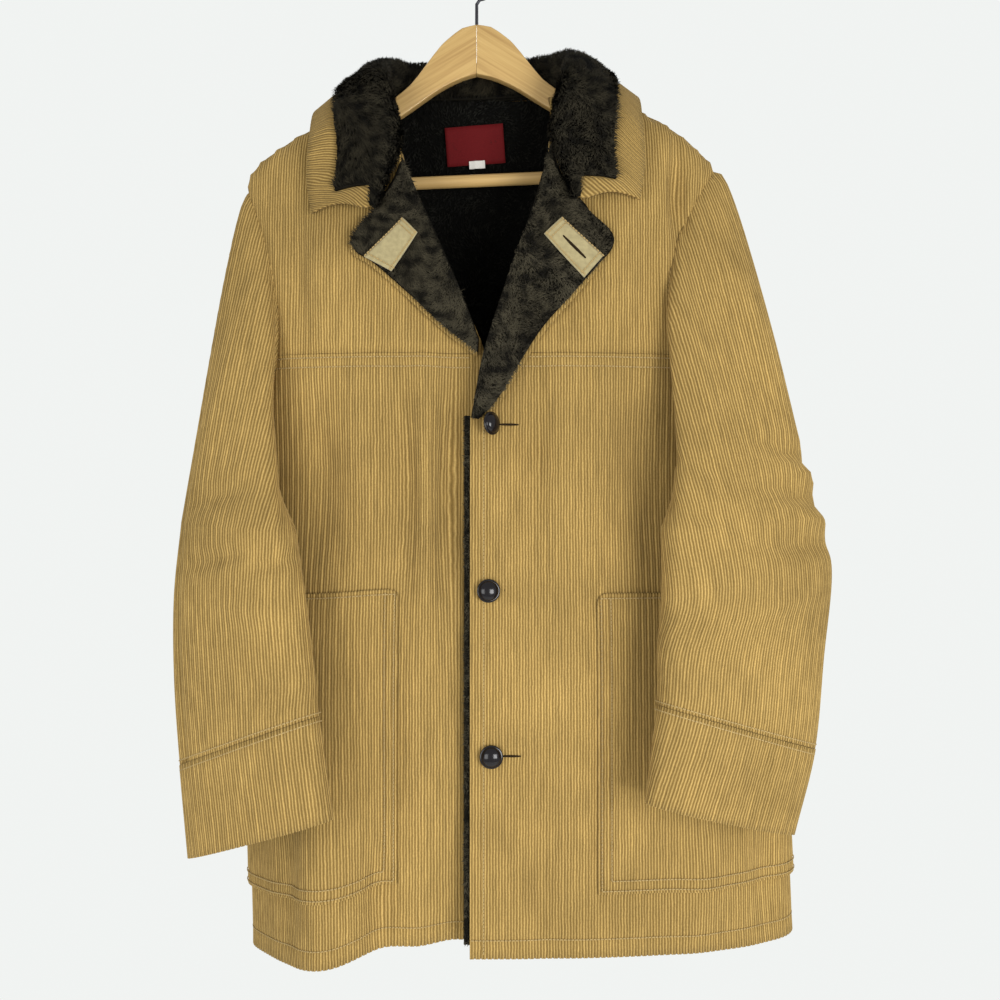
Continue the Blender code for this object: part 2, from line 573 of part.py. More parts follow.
def sleeve(q, phi, side):
    # Middle of the sleeve wall: q 0 to 1 from armhole to biceps, then the table's rows
    q, phi = np.broadcast_arrays(q, phi)
    hang = sleeve_section(np.maximum(q - 1, 0), phi, side)
    start, out = armhole_start(phi - SLEEVE_TWIST, side)
    t = np.clip(q, 0, 1)[..., None]
    puff = 0
    for place, wide, *push in CROWN_FOLDS[side]:
        off = (phi - SLEEVE_TWIST - place + 0.5) % 1 - 0.5
        puff = puff + bell(off / wide)[..., None] * np.array(push) * np.array((side, 1, 1))
    loft = start * (1 - t) + hang * t + puff * np.sin(np.pi * np.sqrt(t))
    crown = clear_of_body(loft, side, CROWN_CLEAR * ramp(q / CROWN_RAMP))
    return np.where(q[..., None] < 1, crown, hang), out


def sleeve_wall(name, material, q, phi, side, wrap=False):
    q, phi = (np.array(a) for a in np.broadcast_arrays(q[:, None], phi[None, :]))
    middle, out = sleeve(q, phi, side)
    step_q, step_phi = 0.02, 0.01
    low, high = np.maximum(q - step_q, 0), np.minimum(q + step_q, 1 + SLEEVE[side]["row"][-1])
    down = sleeve(high, phi, side)[0] - sleeve(low, phi, side)[0]
    round_ = sleeve(q, phi + step_phi, side)[0] - sleeve(q, phi - step_phi, side)[0]
    skin = side * unit(np.cross(down, round_))
    lift = CLOTH / 2 * np.abs((skin * out).sum(axis=-1, keepdims=True))
    lift = lift * np.maximum(1 - q[..., None] / SEAT_RAMP, 0)
    middle = middle + lift * out
    return shell(name, material, middle - skin * CLOTH / 2, middle + skin * CLOTH / 2, wrap)


def make_sleeves():
    rows = np.concatenate([np.linspace(0, 1, 7), np.linspace(1.3, 1 + CUFF_ROW, 8)])
    hair = SEAM / SLEEVE_GIRTH / 2
    rows[-1] -= CUFF_GAP
    cuff = np.linspace(1 + CUFF_ROW + CUFF_GAP, 1 + SLEEVE[1]["row"][-1], 4)
    for side, name in ((1, "left"), (-1, "right")):
        elbow = ELBOW_SEAM[side]
        top = np.linspace(elbow + hair, INSEAM - hair, 15)
        under = np.linspace(INSEAM + hair, elbow + 1 - hair, 11)
        sleeve_wall(f"sleeve_top_{name}", CORDUROY, rows, top, side)
        sleeve_wall(f"sleeve_under_{name}", CORDUROY, rows, under, side)
        sleeve_wall(f"cuff_{name}", CORDUROY, cuff, np.linspace(0, 1, 24, endpoint=False), side, wrap=True)


# Buttons

def make_buttons():
    profile = [(0, 0), (SHANK_RADIUS, 0), (SHANK_RADIUS, SHANK), (BUTTON_RADIUS - RIM_INSET, SHANK),
               (BUTTON_RADIUS, SHANK + BUTTON_RIM / 2), (BUTTON_RADIUS - RIM_INSET, SHANK + BUTTON_RIM)]
    top = SHANK + BUTTON_RIM
    arc = [(math.cos(a) * (BUTTON_RADIUS - DOME_INSET), top + math.sin(a) * BUTTON_DOME)
           for a in np.linspace(0, np.pi / 2, 5)]
    for i in range(len(BUTTONS["x"])):
        x, z = BUTTONS["x"][i], BUTTONS["z"][i]
        lean = math.radians(BUTTONS["lean"][i])
        bm = bmesh.new()
        verts = [bm.verts.new((r, 0, h)) for r, h in profile + arc]
        edges = [bm.edges.new(pair) for pair in zip(verts, verts[1:])]
        bmesh.ops.spin(bm, geom=verts + edges, cent=(0, 0, 0), axis=(0, 0, 1), angle=math.tau, steps=20,
                       use_merge=True)
        bmesh.ops.remove_doubles(bm, verts=bm.verts, dist=1e-6)
        out = Vector(facing(np.array(x), np.array(z)))
        tilt = Matrix.Rotation(lean, 3, "Z")
        turn = (tilt @ out).to_track_quat("Z", "Y").to_matrix()
        bmesh.ops.transform(bm, matrix=turn.to_4x4(), verts=bm.verts)
        seat = Vector(torso(np.array(x), np.array(z)))
        clear = SEAM - min((v.co.dot(out) for v in bm.verts))
        bmesh.ops.translate(bm, vec=seat + out * clear, verts=bm.verts)
        add(f"button_{i + 1}", bm, HORN)


# Hanger

def make_hanger():
    for side, name in ((1, "left"), (-1, "right")):
        bm = bmesh.new()
        inset = np.where(ARM["x"] == 0, SEAM / 2, 0)
        x = side * (ARM["x"] + inset)
        outline = list(zip(x, ARM["top"] + LEAN * x)) + list(zip(x, ARM["under"] + LEAN * x))[::-1]
        face = bm.faces.new([bm.verts.new((px, -ARM_THICK / 2, pz)) for px, pz in outline])
        grown = bmesh.ops.extrude_face_region(bm, geom=[face])
        bmesh.ops.translate(bm, vec=(0, ARM_THICK, 0),
                            verts=[g for g in grown["geom"] if isinstance(g, bmesh.types.BMVert)])
        add(f"hanger_arm_{name}", bm, WOOD)
    bm = bmesh.new()
    bmesh.ops.create_cone(bm, cap_ends=True, segments=16, radius1=BAR_RADIUS, radius2=BAR_RADIUS,
                          depth=2 * BAR_HALF)
    bmesh.ops.rotate(bm, verts=bm.verts, matrix=Matrix.Rotation(math.pi / 2 - math.atan(LEAN), 3, "Y"))
    bmesh.ops.translate(bm, vec=(0, 0, BAR_Z), verts=bm.verts)
    add("hanger_bar", bm, WOOD)
    ring = HOOK_RADIUS + WIRE_RADIUS
    path = [(0, 0, HOOK_FOOT), (0, 0, HOOK_NECK)]
    path += [(ring * math.sin(a), 0, -HOOK_RADIUS - ring * math.cos(a)) for a in np.linspace(*HOOK_BEND, 18)]
    curve = bpy.data.curves.new("hanger_hook", "CURVE")
    curve.dimensions = "3D"
    curve.bevel_depth = WIRE_RADIUS
    curve.bevel_resolution = 2
    curve.use_fill_caps = True
    spline = curve.splines.new("POLY")
    spline.points.add(len(path) - 1)
    for point, place in zip(spline.points, path):
        point.co = (*place, 1)
    curve.materials.append(STEEL)
    bpy.context.collection.objects.link(bpy.data.objects.new("hanger_hook", curve))


make_fronts()
make_yokes()
make_back()
make_label()
make_strip()
make_lapels()
make_collar()
make_sleeves()
make_buttons()
make_hanger()
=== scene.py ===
# Barn coat of wide-wale corduroy with a dark pile collar, on its wooden hanger.
# Metres, +Z up. The front faces -Y. Left and right are the wearer's, so left is +X.
import math

import bmesh
import bpy
import numpy as np
from mathutils import Matrix, Vector, noise as lumps


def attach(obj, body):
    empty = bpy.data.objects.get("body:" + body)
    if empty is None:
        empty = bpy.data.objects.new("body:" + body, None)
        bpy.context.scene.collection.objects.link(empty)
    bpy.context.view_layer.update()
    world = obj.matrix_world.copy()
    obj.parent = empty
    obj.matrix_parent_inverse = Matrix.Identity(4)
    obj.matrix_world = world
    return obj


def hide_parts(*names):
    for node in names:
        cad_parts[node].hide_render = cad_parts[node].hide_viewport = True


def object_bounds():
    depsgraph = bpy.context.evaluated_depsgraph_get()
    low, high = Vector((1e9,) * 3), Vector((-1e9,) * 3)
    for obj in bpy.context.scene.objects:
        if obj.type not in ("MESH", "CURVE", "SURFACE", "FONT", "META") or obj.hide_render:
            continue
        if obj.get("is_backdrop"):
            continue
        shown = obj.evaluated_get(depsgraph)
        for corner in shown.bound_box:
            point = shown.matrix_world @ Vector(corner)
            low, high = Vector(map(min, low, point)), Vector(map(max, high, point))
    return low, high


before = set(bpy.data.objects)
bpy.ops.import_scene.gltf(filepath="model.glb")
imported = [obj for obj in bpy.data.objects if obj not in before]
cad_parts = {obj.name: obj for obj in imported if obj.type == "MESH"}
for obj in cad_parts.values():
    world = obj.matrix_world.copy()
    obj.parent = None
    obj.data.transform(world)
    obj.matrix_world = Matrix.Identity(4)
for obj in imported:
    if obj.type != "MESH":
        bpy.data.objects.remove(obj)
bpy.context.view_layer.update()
print("solids loaded")


def table(columns, *rows):
    return dict(zip(columns.split(), np.array(rows, dtype=float).T))


# Cloth
cloth = 0.0025       # corduroy wall
pile = 0.008         # pile facing, backing and fibres together
lining = 0.006       # pile lining
seam = 0.0003        # gap between neighbouring pieces
lean = math.tan(math.radians(2.5))   # the hanger hangs with its left end up

# Body
frontRound = 2.4    # squareness of the plan section, front half
backRound = 3.0     # and back half
neckZ = -0.145      # top of the yokes and back
yokeZ = -0.4135     # yoke seam
underEdge = 0.035   # edge of the right front, under the left one
sectionSteps = 120  # steps from centre front to centre back

# Plan sections from hem to neck: half widths, and depths of front, side line and back
torsoTable = table("z left right front side back",
                   (-1.030, 0.330, 0.232, -0.090, 0.006, 0.052),
                   (-0.850, 0.320, 0.236, -0.086, 0.005, 0.052),
                   (-0.650, 0.288, 0.238, -0.081, 0.004, 0.050),
                   (-0.500, 0.258, 0.232, -0.075, 0.002, 0.048),
                   (-0.400, 0.260, 0.238, -0.068, 0.000, 0.046),
                   (-0.300, 0.262, 0.243, -0.057, 0.000, 0.041),
                   (-0.240, 0.257, 0.240, -0.046, 0.000, 0.036),
                   (-0.217, 0.251, 0.234, -0.041, 0.000, 0.033),
                   (-0.193, 0.229, 0.206, -0.035, 0.000, 0.029),
                   (-0.175, 0.208, 0.177, -0.031, 0.000, 0.026),
                   (-0.158, 0.179, 0.145, -0.026, 0.000, 0.022),
                   (-0.145, 0.146, 0.118, -0.022, 0.000, 0.020))

# Hem heights across the right front and the back, and of the left front
hemTable = table("x z",
                 (-0.330, -1.018), (-0.200, -1.008), (-0.140, -1.001), (-0.090, -0.992),
                 (-0.020, -0.991), (0.040, -0.994), (0.120, -0.999), (0.420, -1.000))
hemLeft = -1.002

# Soft folds of the fronts and the back: place, reach and height
frontFolds = ((-0.150, -1.060, 0.075, 0.560, 0.042),
              (-0.045, -0.560, 0.028, 0.220, 0.008),
              (0.088, -0.560, 0.030, 0.200, 0.007),
              (0.205, -0.255, 0.016, 0.070, -0.006))
backFolds = ((-0.110, -0.820, 0.050, 0.350, 0.012),
             (0.130, -0.880, 0.060, 0.320, 0.014),
             (0.020, -0.600, 0.045, 0.260, 0.007))

# Right front sinks under the left one: depth below the body's form
sunkTable = table("z depth",
                  (-1.030, 0.024), (-0.700, 0.014), (-0.440, 0.010), (-0.405, 0.006), (-0.350, 0.0))
sunkFrom, sunkTo = -0.060, -0.018

# Armholes: heights of shoulder tip and pit, and how far the seam cuts in
armholeTable = {1: {"tip": -0.217, "pit": -0.485, "cut": 0.25},
                -1: {"tip": -0.240, "pit": -0.505, "cut": 0.155}}

# Roll line of the lapels, which is also the free edge of the left front below the opening
rollTable = table("z left right",
                  (-0.480, -0.0050, 0.0085), (-0.455, 0.0005, 0.0085), (-0.410, 0.0105, 0.0085),
                  (-0.367, 0.0255, -0.0100), (-0.323, 0.0395, -0.0280), (-0.282, 0.0535, -0.0460),
                  (-0.243, 0.0646, -0.0637), (-0.205, 0.0740, -0.0765), (-0.165, 0.0755, -0.0855),
                  (-0.140, 0.0750, -0.0880))

# Lapels: roll line and outer edge from the notch down
lapelTable = {1: table("v roll_x roll_z out_x out_z",
                       (0.00, 0.0728, -0.2157, 0.0943, -0.2590), (0.10, 0.0646, -0.2434, 0.1380, -0.2960),
                       (0.17, 0.0597, -0.2620, 0.1387, -0.3116), (0.25, 0.0537, -0.2800, 0.1250, -0.3280),
                       (0.40, 0.0410, -0.3135, 0.0977, -0.3595), (0.58, 0.0243, -0.3632, 0.0683, -0.3937),
                       (0.74, 0.0106, -0.4075, 0.0439, -0.4320), (0.92, -0.0010, -0.4630, 0.0214, -0.4670),
                       (1.00, -0.0040, -0.4790, 0.0070, -0.4810)),
              -1: table("v roll_x roll_z out_x out_z",
                        (0.00, -0.0707, -0.2260, -0.0885, -0.2590), (0.14, -0.0637, -0.2430, -0.1245, -0.3010),
                        (0.24, -0.0549, -0.2630, -0.1230, -0.3135), (0.40, -0.0430, -0.2900, -0.1048, -0.3262),
                        (0.62, -0.0246, -0.3320, -0.0686, -0.3585), (0.84, -0.0050, -0.3800, -0.0305, -0.3937),
                        (1.00, 0.0030, -0.4020, 0.0020, -0.4190))}
lapelGap = 0.0004
lapelRise, lapelRiseWidth = 0.008, 0.055   # roll of the lapel, which fades out at its foot
lapelFoot, lapelFade = -0.480, 0.060
lapelEdge = 0.004   # corduroy that shows round the pile

# Lapel patches: corners at the inner top, inner bottom, outer bottom and outer top
patchCorners = {1: ((0.0844, -0.2826), (0.0670, -0.3000), (0.1060, -0.3420), (0.1250, -0.3200)),
                -1: ((-0.0708, -0.2835), (-0.0562, -0.2990), (-0.0814, -0.3360), (-0.1085, -0.3210))}

# Collar sections from centre back to the front end: seam, roll and outer edge
collarTable = table("k seam_x seam_y seam_z roll_x roll_y roll_z edge_x edge_y edge_z puff",
                    (0, 0.000, 0.022, -0.139, 0.000, 0.040, -0.098, 0.000, 0.038, -0.192, 0.008),
                    (1, 0.070, 0.020, -0.136, 0.066, 0.030, -0.099, 0.128, 0.043, -0.182, 0.009),
                    (2, 0.100, -0.002, -0.134, 0.096, -0.004, -0.106, 0.163, 0.005, -0.147, 0.010),
                    (3, 0.088, -0.036, -0.160, 0.093, -0.048, -0.142, 0.167, -0.036, -0.188, 0.010),
                    (4, 0.080, -0.047, -0.206, 0.085, -0.060, -0.197, 0.169, -0.042, -0.228, 0.008),
                    (5, 0.098, -0.056, -0.248, 0.103, -0.064, -0.241, 0.163, -0.050, -0.267, 0.004))
collarEnd = 4.988          # last station of the collar, and of the pile on it
pileEnd, pileEdge = 4.708, 0.88
borderRise = 0.004         # corduroy turned over round the pile

# Sleeves below the armhole: outer and inner fold of each section, and half its thickness
sleeveTable = {1: table("row out_x out_y out_z in_x in_y in_z half",
                        (0, 0.337, -0.056, -0.575, 0.179, -0.124, -0.585, 0.036),
                        (1, 0.347, -0.060, -0.628, 0.178, -0.128, -0.652, 0.036),
                        (2, 0.336, -0.075, -0.711, 0.1725, -0.136, -0.699, 0.033),
                        (3, 0.325, -0.085, -0.7985, 0.171, -0.141, -0.748, 0.031),
                        (4, 0.303, -0.095, -0.877, 0.160, -0.145, -0.837, 0.028)),
               -1: table("row out_x out_y out_z in_x in_y in_z half",
                         (0, -0.282, -0.058, -0.580, -0.174, -0.124, -0.588, 0.035),
                         (1, -0.288, -0.070, -0.652, -0.161, -0.136, -0.642, 0.034),
                         (2, -0.285, -0.085, -0.730, -0.149, -0.150, -0.712, 0.032),
                         (3, -0.278, -0.092, -0.813, -0.143, -0.157, -0.756, 0.030),
                         (4, -0.270, -0.095, -0.900, -0.129, -0.162, -0.8475, 0.028))}
sleeveRound = 2.3
sleeveTwist = 0.10          # turn of the sleeve in its armhole
# Fullness of the crown: place in turns from the shoulder tip, reach, and push outward, back and up
crownFolds = {1: ((0.00, 0.24, 0.008, 0.0, 0.0), (0.33, 0.22, -0.012, -0.010, 0.0)),
               -1: ((0.00, 0.24, 0.006, 0.0, 0.0), (0.33, 0.22, -0.004, -0.010, 0.0))}
crownClear = 0.0045         # least way between the body form and the middle of the sleeve's wall
crownRamp = 0.14            # share of the crown where that way grows
flank = 0.03                 # depth behind the side line where that way is given up
armSeatOut = 0.0004        # gaps at the armhole seam, and the wider one under the arm and behind
armSeatIn, armSeatBehind = 0.0012, 0.0045
behindFrom, behindRamp = 0.38, 0.10
elbowSeam = {1: -0.05, -1: 0.12}   # places of the sleeve seams, in turns from the outer fold
inseam = 0.56
cuffRow, cuffGap = 3.0, 0.002   # row of the cuff's seam, and half its gap in rows
sleeveGirth = 0.4

# Pockets: inner edge, and the levels of bottom and top between hem and yoke seam
pocketInner = {1: 0.1200, -1: -0.0760}
pocketLow, pocketHigh = 0.104, 0.598

# Pile strip along the edge of the left front
stripX, stripWidth, stripTop = -0.012, 0.024, -0.490

# Neck lining and label
liningHalf, liningLow = 0.120, -0.470
liningGap = 0.0012
liningShare = 0.62          # most of the half back that it covers
labelX, labelZ, labelWidth, labelHeight = -0.002, -0.182, 0.061, 0.040
labelTilt = math.radians(4)
tabX, tabWidth, tabHeight = 0.000, 0.016, 0.008

# Buttons on the left front: place, and lean of the top one
buttonTable = table("x z lean", (0.0137, -0.4850, 50), (0.0128, -0.6473, 8), (0.0157, -0.8076, 3))
buttonRadius, buttonRim, buttonDome = 0.0115, 0.0022, 0.0050
rimInset, domeInset = 0.0010, 0.0018
shankRadius, shank = 0.0040, 0.0022

# Hanger
armThick = 0.012
armTable = table("x top under",
                 (0.0000, -0.0650, -0.1160), (0.0150, -0.0680, -0.1200), (0.0350, -0.0830, -0.1290),
                 (0.0692, -0.1248, -0.1510), (0.0900, -0.1410, -0.1640), (0.1500, -0.1720, -0.1980),
                 (0.1860, -0.1920, -0.2160), (0.1880, -0.1930, -0.2360), (0.2220, -0.2140, -0.2420))
barZ, barRadius, barHalf = -0.226, 0.0065, 0.1855


def track(tab, column, at):
    # Smooth curve through a column of a table, against its first column
    key = next(iter(tab.values()))
    value = tab[column]
    slope = np.gradient(value, key)
    at = np.clip(at, key[0], key[-1])
    i = np.clip(np.searchsorted(key, at, side="right") - 1, 0, len(key) - 2)
    span = key[i + 1] - key[i]
    t = (at - key[i]) / span
    ends = value[i] * (1 + 2 * t) * (1 - t) ** 2 + value[i + 1] * t * t * (3 - 2 * t)
    return ends + span * t * (1 - t) * (slope[i] * (1 - t) - slope[i + 1] * t)


def bell(t):
    return np.where(np.abs(t) < 1, np.cos(np.clip(t, -1, 1) * np.pi / 2) ** 2, 0.0)


def ramp(t):
    t = np.clip(t, 0, 1)
    return t * t * (3 - 2 * t)


def unit(v):
    return v / np.linalg.norm(v, axis=-1, keepdims=True)


def folds(rows, x, z):
    return sum(out * bell((x - at) / wide) * bell((z - mid) / tall) for at, mid, wide, tall, out in rows)


def halfSection(z, side):
    # Plan sections at heights z, from centre front round one side to centre back, with the cloth's run
    z, side = z[:, None], side[:, None]
    wide = np.where(side > 0, track(torsoTable, "left", z), track(torsoTable, "right", z))
    line = track(torsoTable, "side", z)
    turn = np.linspace(0, np.pi, sectionSteps + 1)[None, :]
    ahead = turn <= np.pi / 2
    power = 2 / np.where(ahead, frontRound, backRound)
    x = side * wide * np.sin(turn).clip(0) ** power
    deep = np.where(ahead, track(torsoTable, "front", z), track(torsoTable, "back", z)) - line
    y = line + deep * np.abs(np.cos(turn)) ** power
    y = y + np.where(ahead, -folds(frontFolds, x, z), folds(backFolds, x, z))
    run = np.hypot(np.diff(x, axis=1), np.diff(y, axis=1)).cumsum(axis=1)
    return x, y, np.hstack([np.zeros_like(z), run])


def runAt(z, side, turn):
    # Length of cloth from centre front to a turn of the section
    z, turn = (a.ravel() for a in np.broadcast_arrays(np.asarray(z, float), np.asarray(turn, float)))
    run = halfSection(z, np.full(z.shape, float(side)))[2]
    place = turn / np.pi * sectionSteps
    i = np.clip(place.astype(int), 0, sectionSteps - 1)
    at = np.arange(len(z))
    return run[at, i] + (run[at, i + 1] - run[at, i]) * (place - i)


def torso(reach, z):
    # Outer surface at a reach along the cloth from centre front, negative on the wearer's right
    reach, z = np.broadcast_arrays(np.asarray(reach, float), np.asarray(z, float))
    shape, reach, z = reach.shape, reach.ravel(), z.ravel()
    x, y, run = halfSection(z, np.where(reach < 0, -1.0, 1.0))
    far = np.abs(reach)
    i = (run[:, 1:-1] < far[:, None]).sum(axis=1)
    at = np.arange(len(z))
    t = np.clip((far - run[at, i]) / (run[at, i + 1] - run[at, i]), 0, 1)
    point = [x[at, i] * (1 - t) + x[at, i + 1] * t, y[at, i] * (1 - t) + y[at, i + 1] * t, z]
    return np.stack(point, axis=-1).reshape(shape + (3,))


def facing(reach, z, step=0.002):
    # Outward normal of the body form
    across = torso(reach + step, z) - torso(reach - step, z)
    up = torso(reach, z + step) - torso(reach, z - step)
    return unit(np.cross(across, up))


def sunk(x, z):
    return track(sunkTable, "depth", z) * ramp((x - sunkFrom) / (sunkTo - sunkFrom))


def cutIn(z, side):
    arm = armholeTable[side]
    depth = np.clip((arm["tip"] - z) / (arm["tip"] - arm["pit"]), 0, 1)
    return 1 - arm["cut"] * np.sin(np.pi * depth) ** 0.8


def frontEdge(z, side):
    # Run from centre front to the side seam, armhole or shoulder seam
    return runAt(z, side, np.arcsin(cutIn(z, side) ** (frontRound / 2)))


def backEdge(z, side):
    return runAt(z, side, np.pi - np.arcsin(cutIn(z, side) ** (backRound / 2)))


def hem(reach):
    return track(hemTable, "z", reach)


def lapelSeat(x, z, side):
    # Height of the lapel's underside over the body form
    roll = track(rollTable, "left" if side > 0 else "right", z)
    near = np.clip(1 - np.abs(x - roll) / lapelRiseWidth, 0, 1)
    rise = lapelRise * near ** 2 * ramp((z - lapelFoot) / lapelFade)
    return lapelGap + rise - (sunk(x, z) if side < 0 else 0)


# Droop of the collar's ends
endSag = {"from": 4.2, "outer": 0.45, "inner": 0.2, "power": 1.2, "move": (0.0, -0.008, -0.028)}


def collarPoint(k, w):
    # Middle of the collar: k runs from the right front end over centre back to the left, w from seam to edge
    side = np.where(k < 0, -1.0, 1.0)
    seam, roll, edge = (np.stack([track(collarTable, f"{line}_{axis}", np.abs(k)) for axis in "xyz"], axis=-1)
                        for line in ("seam", "roll", "edge"))
    away = unit((edge - seam) * np.array((1, 1, 0))) + np.array((0, 0, 0.6))
    puff = track(collarTable, "puff", np.abs(k))[..., None] * away
    first = seam + (roll - seam) * 4 / 3
    second = edge + (roll - edge) * 4 / 3 + puff
    w = w[..., None]
    point = seam * (1 - w) ** 3 + 3 * first * w * (1 - w) ** 2 + 3 * second * w * w * (1 - w) + edge * w ** 3
    point[..., 0] *= side
    point[..., 2] += lean * point[..., 0]
    sag = np.clip((np.abs(k)[..., None] - endSag["from"]) / (collarEnd - endSag["from"]), 0, 1)
    sag = sag ** endSag["power"] * ramp((1 - w) / endSag["outer"])
    sag = sag * ramp((w - endSag["inner"]) / endSag["inner"])
    return point + sag * np.array(endSag["move"])


def collarFacing(k, w, step=0.01):
    along = collarPoint(k + step, w) - collarPoint(k - step, w)
    across = collarPoint(k, np.clip(w + step, 0, 1)) - collarPoint(k, np.clip(w - step, 0, 1))
    return unit(np.cross(along, across))


def armhole(phi, side):
    # Armhole edge, in turns from the shoulder tip round the front
    arm = armholeTable[side]
    z = arm["tip"] + (arm["pit"] - arm["tip"]) * (1 - np.cos(2 * np.pi * phi)) / 2
    front, back = (edge(z, side).reshape(z.shape) for edge in (frontEdge, backEdge))
    return side * np.where(phi % 1 <= 0.5, front, back), z


def armholeStart(phi, side, step=0.004):
    # Where the sleeve starts, just outside and inside the armhole edge
    point = torso(*armhole(phi, side))
    out = facing(*armhole(phi, side))
    along = unit(torso(*armhole(phi + step, side)) - torso(*armhole(phi - step, side)))
    inward = np.cross(out, along)
    middle = torso(*armhole(np.linspace(0, 1, 24, endpoint=False), side)).mean(axis=0)
    inward = inward * np.sign((inward * (middle - point)).sum(axis=-1, keepdims=True))
    behind = ramp((phi % 1 - behindFrom) / behindRamp) * ramp((1 - phi % 1) / behindRamp)
    seat = armSeatIn + (armSeatBehind - armSeatIn) * behind[..., None]
    return point + armSeatOut * out + seat * inward, point, inward, out


def sleeveSection(row, phi, side):
    get = {c: track(sleeveTable[side], c, row) for c in sleeveTable[side]}
    outer = np.stack([get["out_x"], get["out_y"], get["out_z"]], axis=-1)
    inner = np.stack([get["in_x"], get["in_y"], get["in_z"]], axis=-1)
    major = (outer - inner) / 2
    minor = side * unit(np.cross(np.array((0.0, 0.0, -1.0)), major)) * get["half"][..., None]
    cos, sin = np.cos(2 * np.pi * phi), np.sin(2 * np.pi * phi)
    power = 2 / sleeveRound
    a = (np.sign(cos) * np.abs(cos) ** power)[..., None]
    b = (np.sign(sin) * np.abs(sin) ** power)[..., None]
    return (outer + inner) / 2 + major * a + minor * b


def clearOfBody(point, side, gap):
    # Points moved straight out of the body's plan section, to stand a gap away from it
    x, y, z = point[..., 0], point[..., 1], point[..., 2]
    line = track(torsoTable, "side", z)
    ahead = y < line
    power = np.where(ahead, frontRound, backRound)
    wide = track(torsoTable, "left" if side > 0 else "right", z) + gap
    deep = np.abs(np.where(ahead, track(torsoTable, "front", z), track(torsoTable, "back", z)) - line) + gap
    size = (np.abs(x / wide) ** power + np.abs((y - line) / deep) ** power) ** (1 / power)
    grow = 1 + np.maximum(1 / np.maximum(size, 0.2) - 1, 0) * ramp((line - y) / flank + 1)
    return np.stack([x * grow, line + (y - line) * grow, z], axis=-1)


# Looks shared by the cloth pieces

# The gaps between the ribs are painted shade in the colour, and the rib tops a painted highlight.
wale = 0.0058   # a pair of ribs: the deep gap is in the mesh, the one between them in the colour
finePhases, coarsePhases = (0.0, 0.12, 0.30, 0.50, 0.70, 0.88), (0.0, 0.2, 0.5, 0.8)   # columns in a pair
waleHigh = 0.0009
hemScallop = 0.0009   # ribs that stand out past a hem
stitchDeep, stitchWide = 0.0009, 0.0022
seamSink = {"deep": 0.0022, "wide": 0.0060}
hemRoll = {"high": 0.0012, "middle": 0.006, "wide": 0.010}
columnGap = 0.0004    # least way from a panel's side to the next column
rng = np.random.default_rng(7)


def waleRise(s):
    phase = s / wale % 1
    return waleHigh * (1 - np.abs(2 * phase - 1) ** 3 - 0.35 * np.exp(-((phase - 0.5) / 0.09) ** 2))


def waleColumns(low, high, phases):
    whole = np.arange(math.floor(low / wale), math.ceil(high / wale) + 1)
    s = ((whole[:, None] + np.array(phases)) * wale).ravel()
    return np.concatenate([[low], s[(s > low + columnGap) & (s < high - columnGap)], [high]])


def heights(low, high, step, lines=()):
    # Rows of a panel, closer together at the lines of stitching
    rows = np.linspace(low, high, max(2, round((high - low) / step) + 1))
    for line in lines:
        rows = rows[np.abs(rows - line) > 2 * stitchWide]
    close = [line + d for line in lines for d in (-stitchWide, 0, stitchWide)]
    return np.unique(np.concatenate([[low], rows, close, [high]]))


def creased(rows, u, v):
    # Soft troughs and ridges: ends, width and height
    total = 0 * u
    for u0, v0, u1, v1, wide, high in rows:
        du, dv = u1 - u0, v1 - v0
        t = ((u - u0) * du + (v - v0) * dv) / (du * du + dv * dv)
        near = np.clip(t, 0, 1)
        away = np.hypot(u - u0 - near * du, v - v0 - near * dv)
        total = total + high * np.exp(-(away / wide) ** 2) * bell((t - 0.5) / 0.8)
    return total


def ditch(away):
    return -seamSink["deep"] * np.exp(-(away / seamSink["wide"]) ** 2)


def groove(at, lines):
    return -stitchDeep * sum(bell((at - line) / stitchWide) for line in lines)


def gridArea(points):
    one = np.cross(points[1:, :-1] - points[:-1, :-1], points[:-1, 1:] - points[:-1, :-1])
    two = np.cross(points[:-1, 1:] - points[1:, 1:], points[1:, :-1] - points[1:, 1:])
    return (np.linalg.norm(one, axis=-1) + np.linalg.norm(two, axis=-1)).sum() / 2


def linked(name, mesh):
    piece = bpy.data.objects.new(name, mesh)
    bpy.context.collection.objects.link(piece)
    return piece


def clothPiece(name, points, uv, out, materials, thick):
    # Grid of points made into a wall that thickens inward
    rows, cols = points.shape[:2]
    bm = bmesh.new()
    bmesh.ops.create_grid(bm, x_segments=cols - 1, y_segments=rows - 1, size=0.5)
    mesh = bpy.data.meshes.new(name)
    bm.to_mesh(mesh)
    mesh.vertices.foreach_set("co", points.reshape(-1))
    corner = np.empty(len(mesh.loops), dtype=np.int32)
    mesh.loops.foreach_get("vertex_index", corner)
    mesh.uv_layers.new(name="cut").data.foreach_set("uv", uv.reshape(-1, 2)[corner].ravel())
    across, up = points[:-1, 1:] - points[:-1, :-1], points[1:, :-1] - points[:-1, :-1]
    turned = (np.cross(across, up) * out[:-1, :-1]).sum() < 0
    bm.clear()
    bm.from_mesh(mesh)
    if turned:
        bmesh.ops.reverse_faces(bm, faces=bm.faces)
    bmesh.ops.remove_doubles(bm, verts=bm.verts, dist=2e-5)
    bm.to_mesh(mesh)
    bm.free()
    for material in materials:
        mesh.materials.append(material)
    mesh.shade_smooth()
    piece = linked(name, mesh)
    if thick:
        wall = piece.modifiers.new("wall", "SOLIDIFY")
        wall.thickness, wall.offset, wall.material_offset = thick, -1, len(materials) - 1
    return piece


def edgeAt(edge, at):
    return float(edge(np.array([at]))[0])


def keep(piece, node=None):
    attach(piece, "root")
    if node:
        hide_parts(node)
    return piece


def declare(piece, cut, points):
    print("cut", piece.name, "flat", cut["flat"], "area", cut["area"], "form", round(gridArea(points), 4))


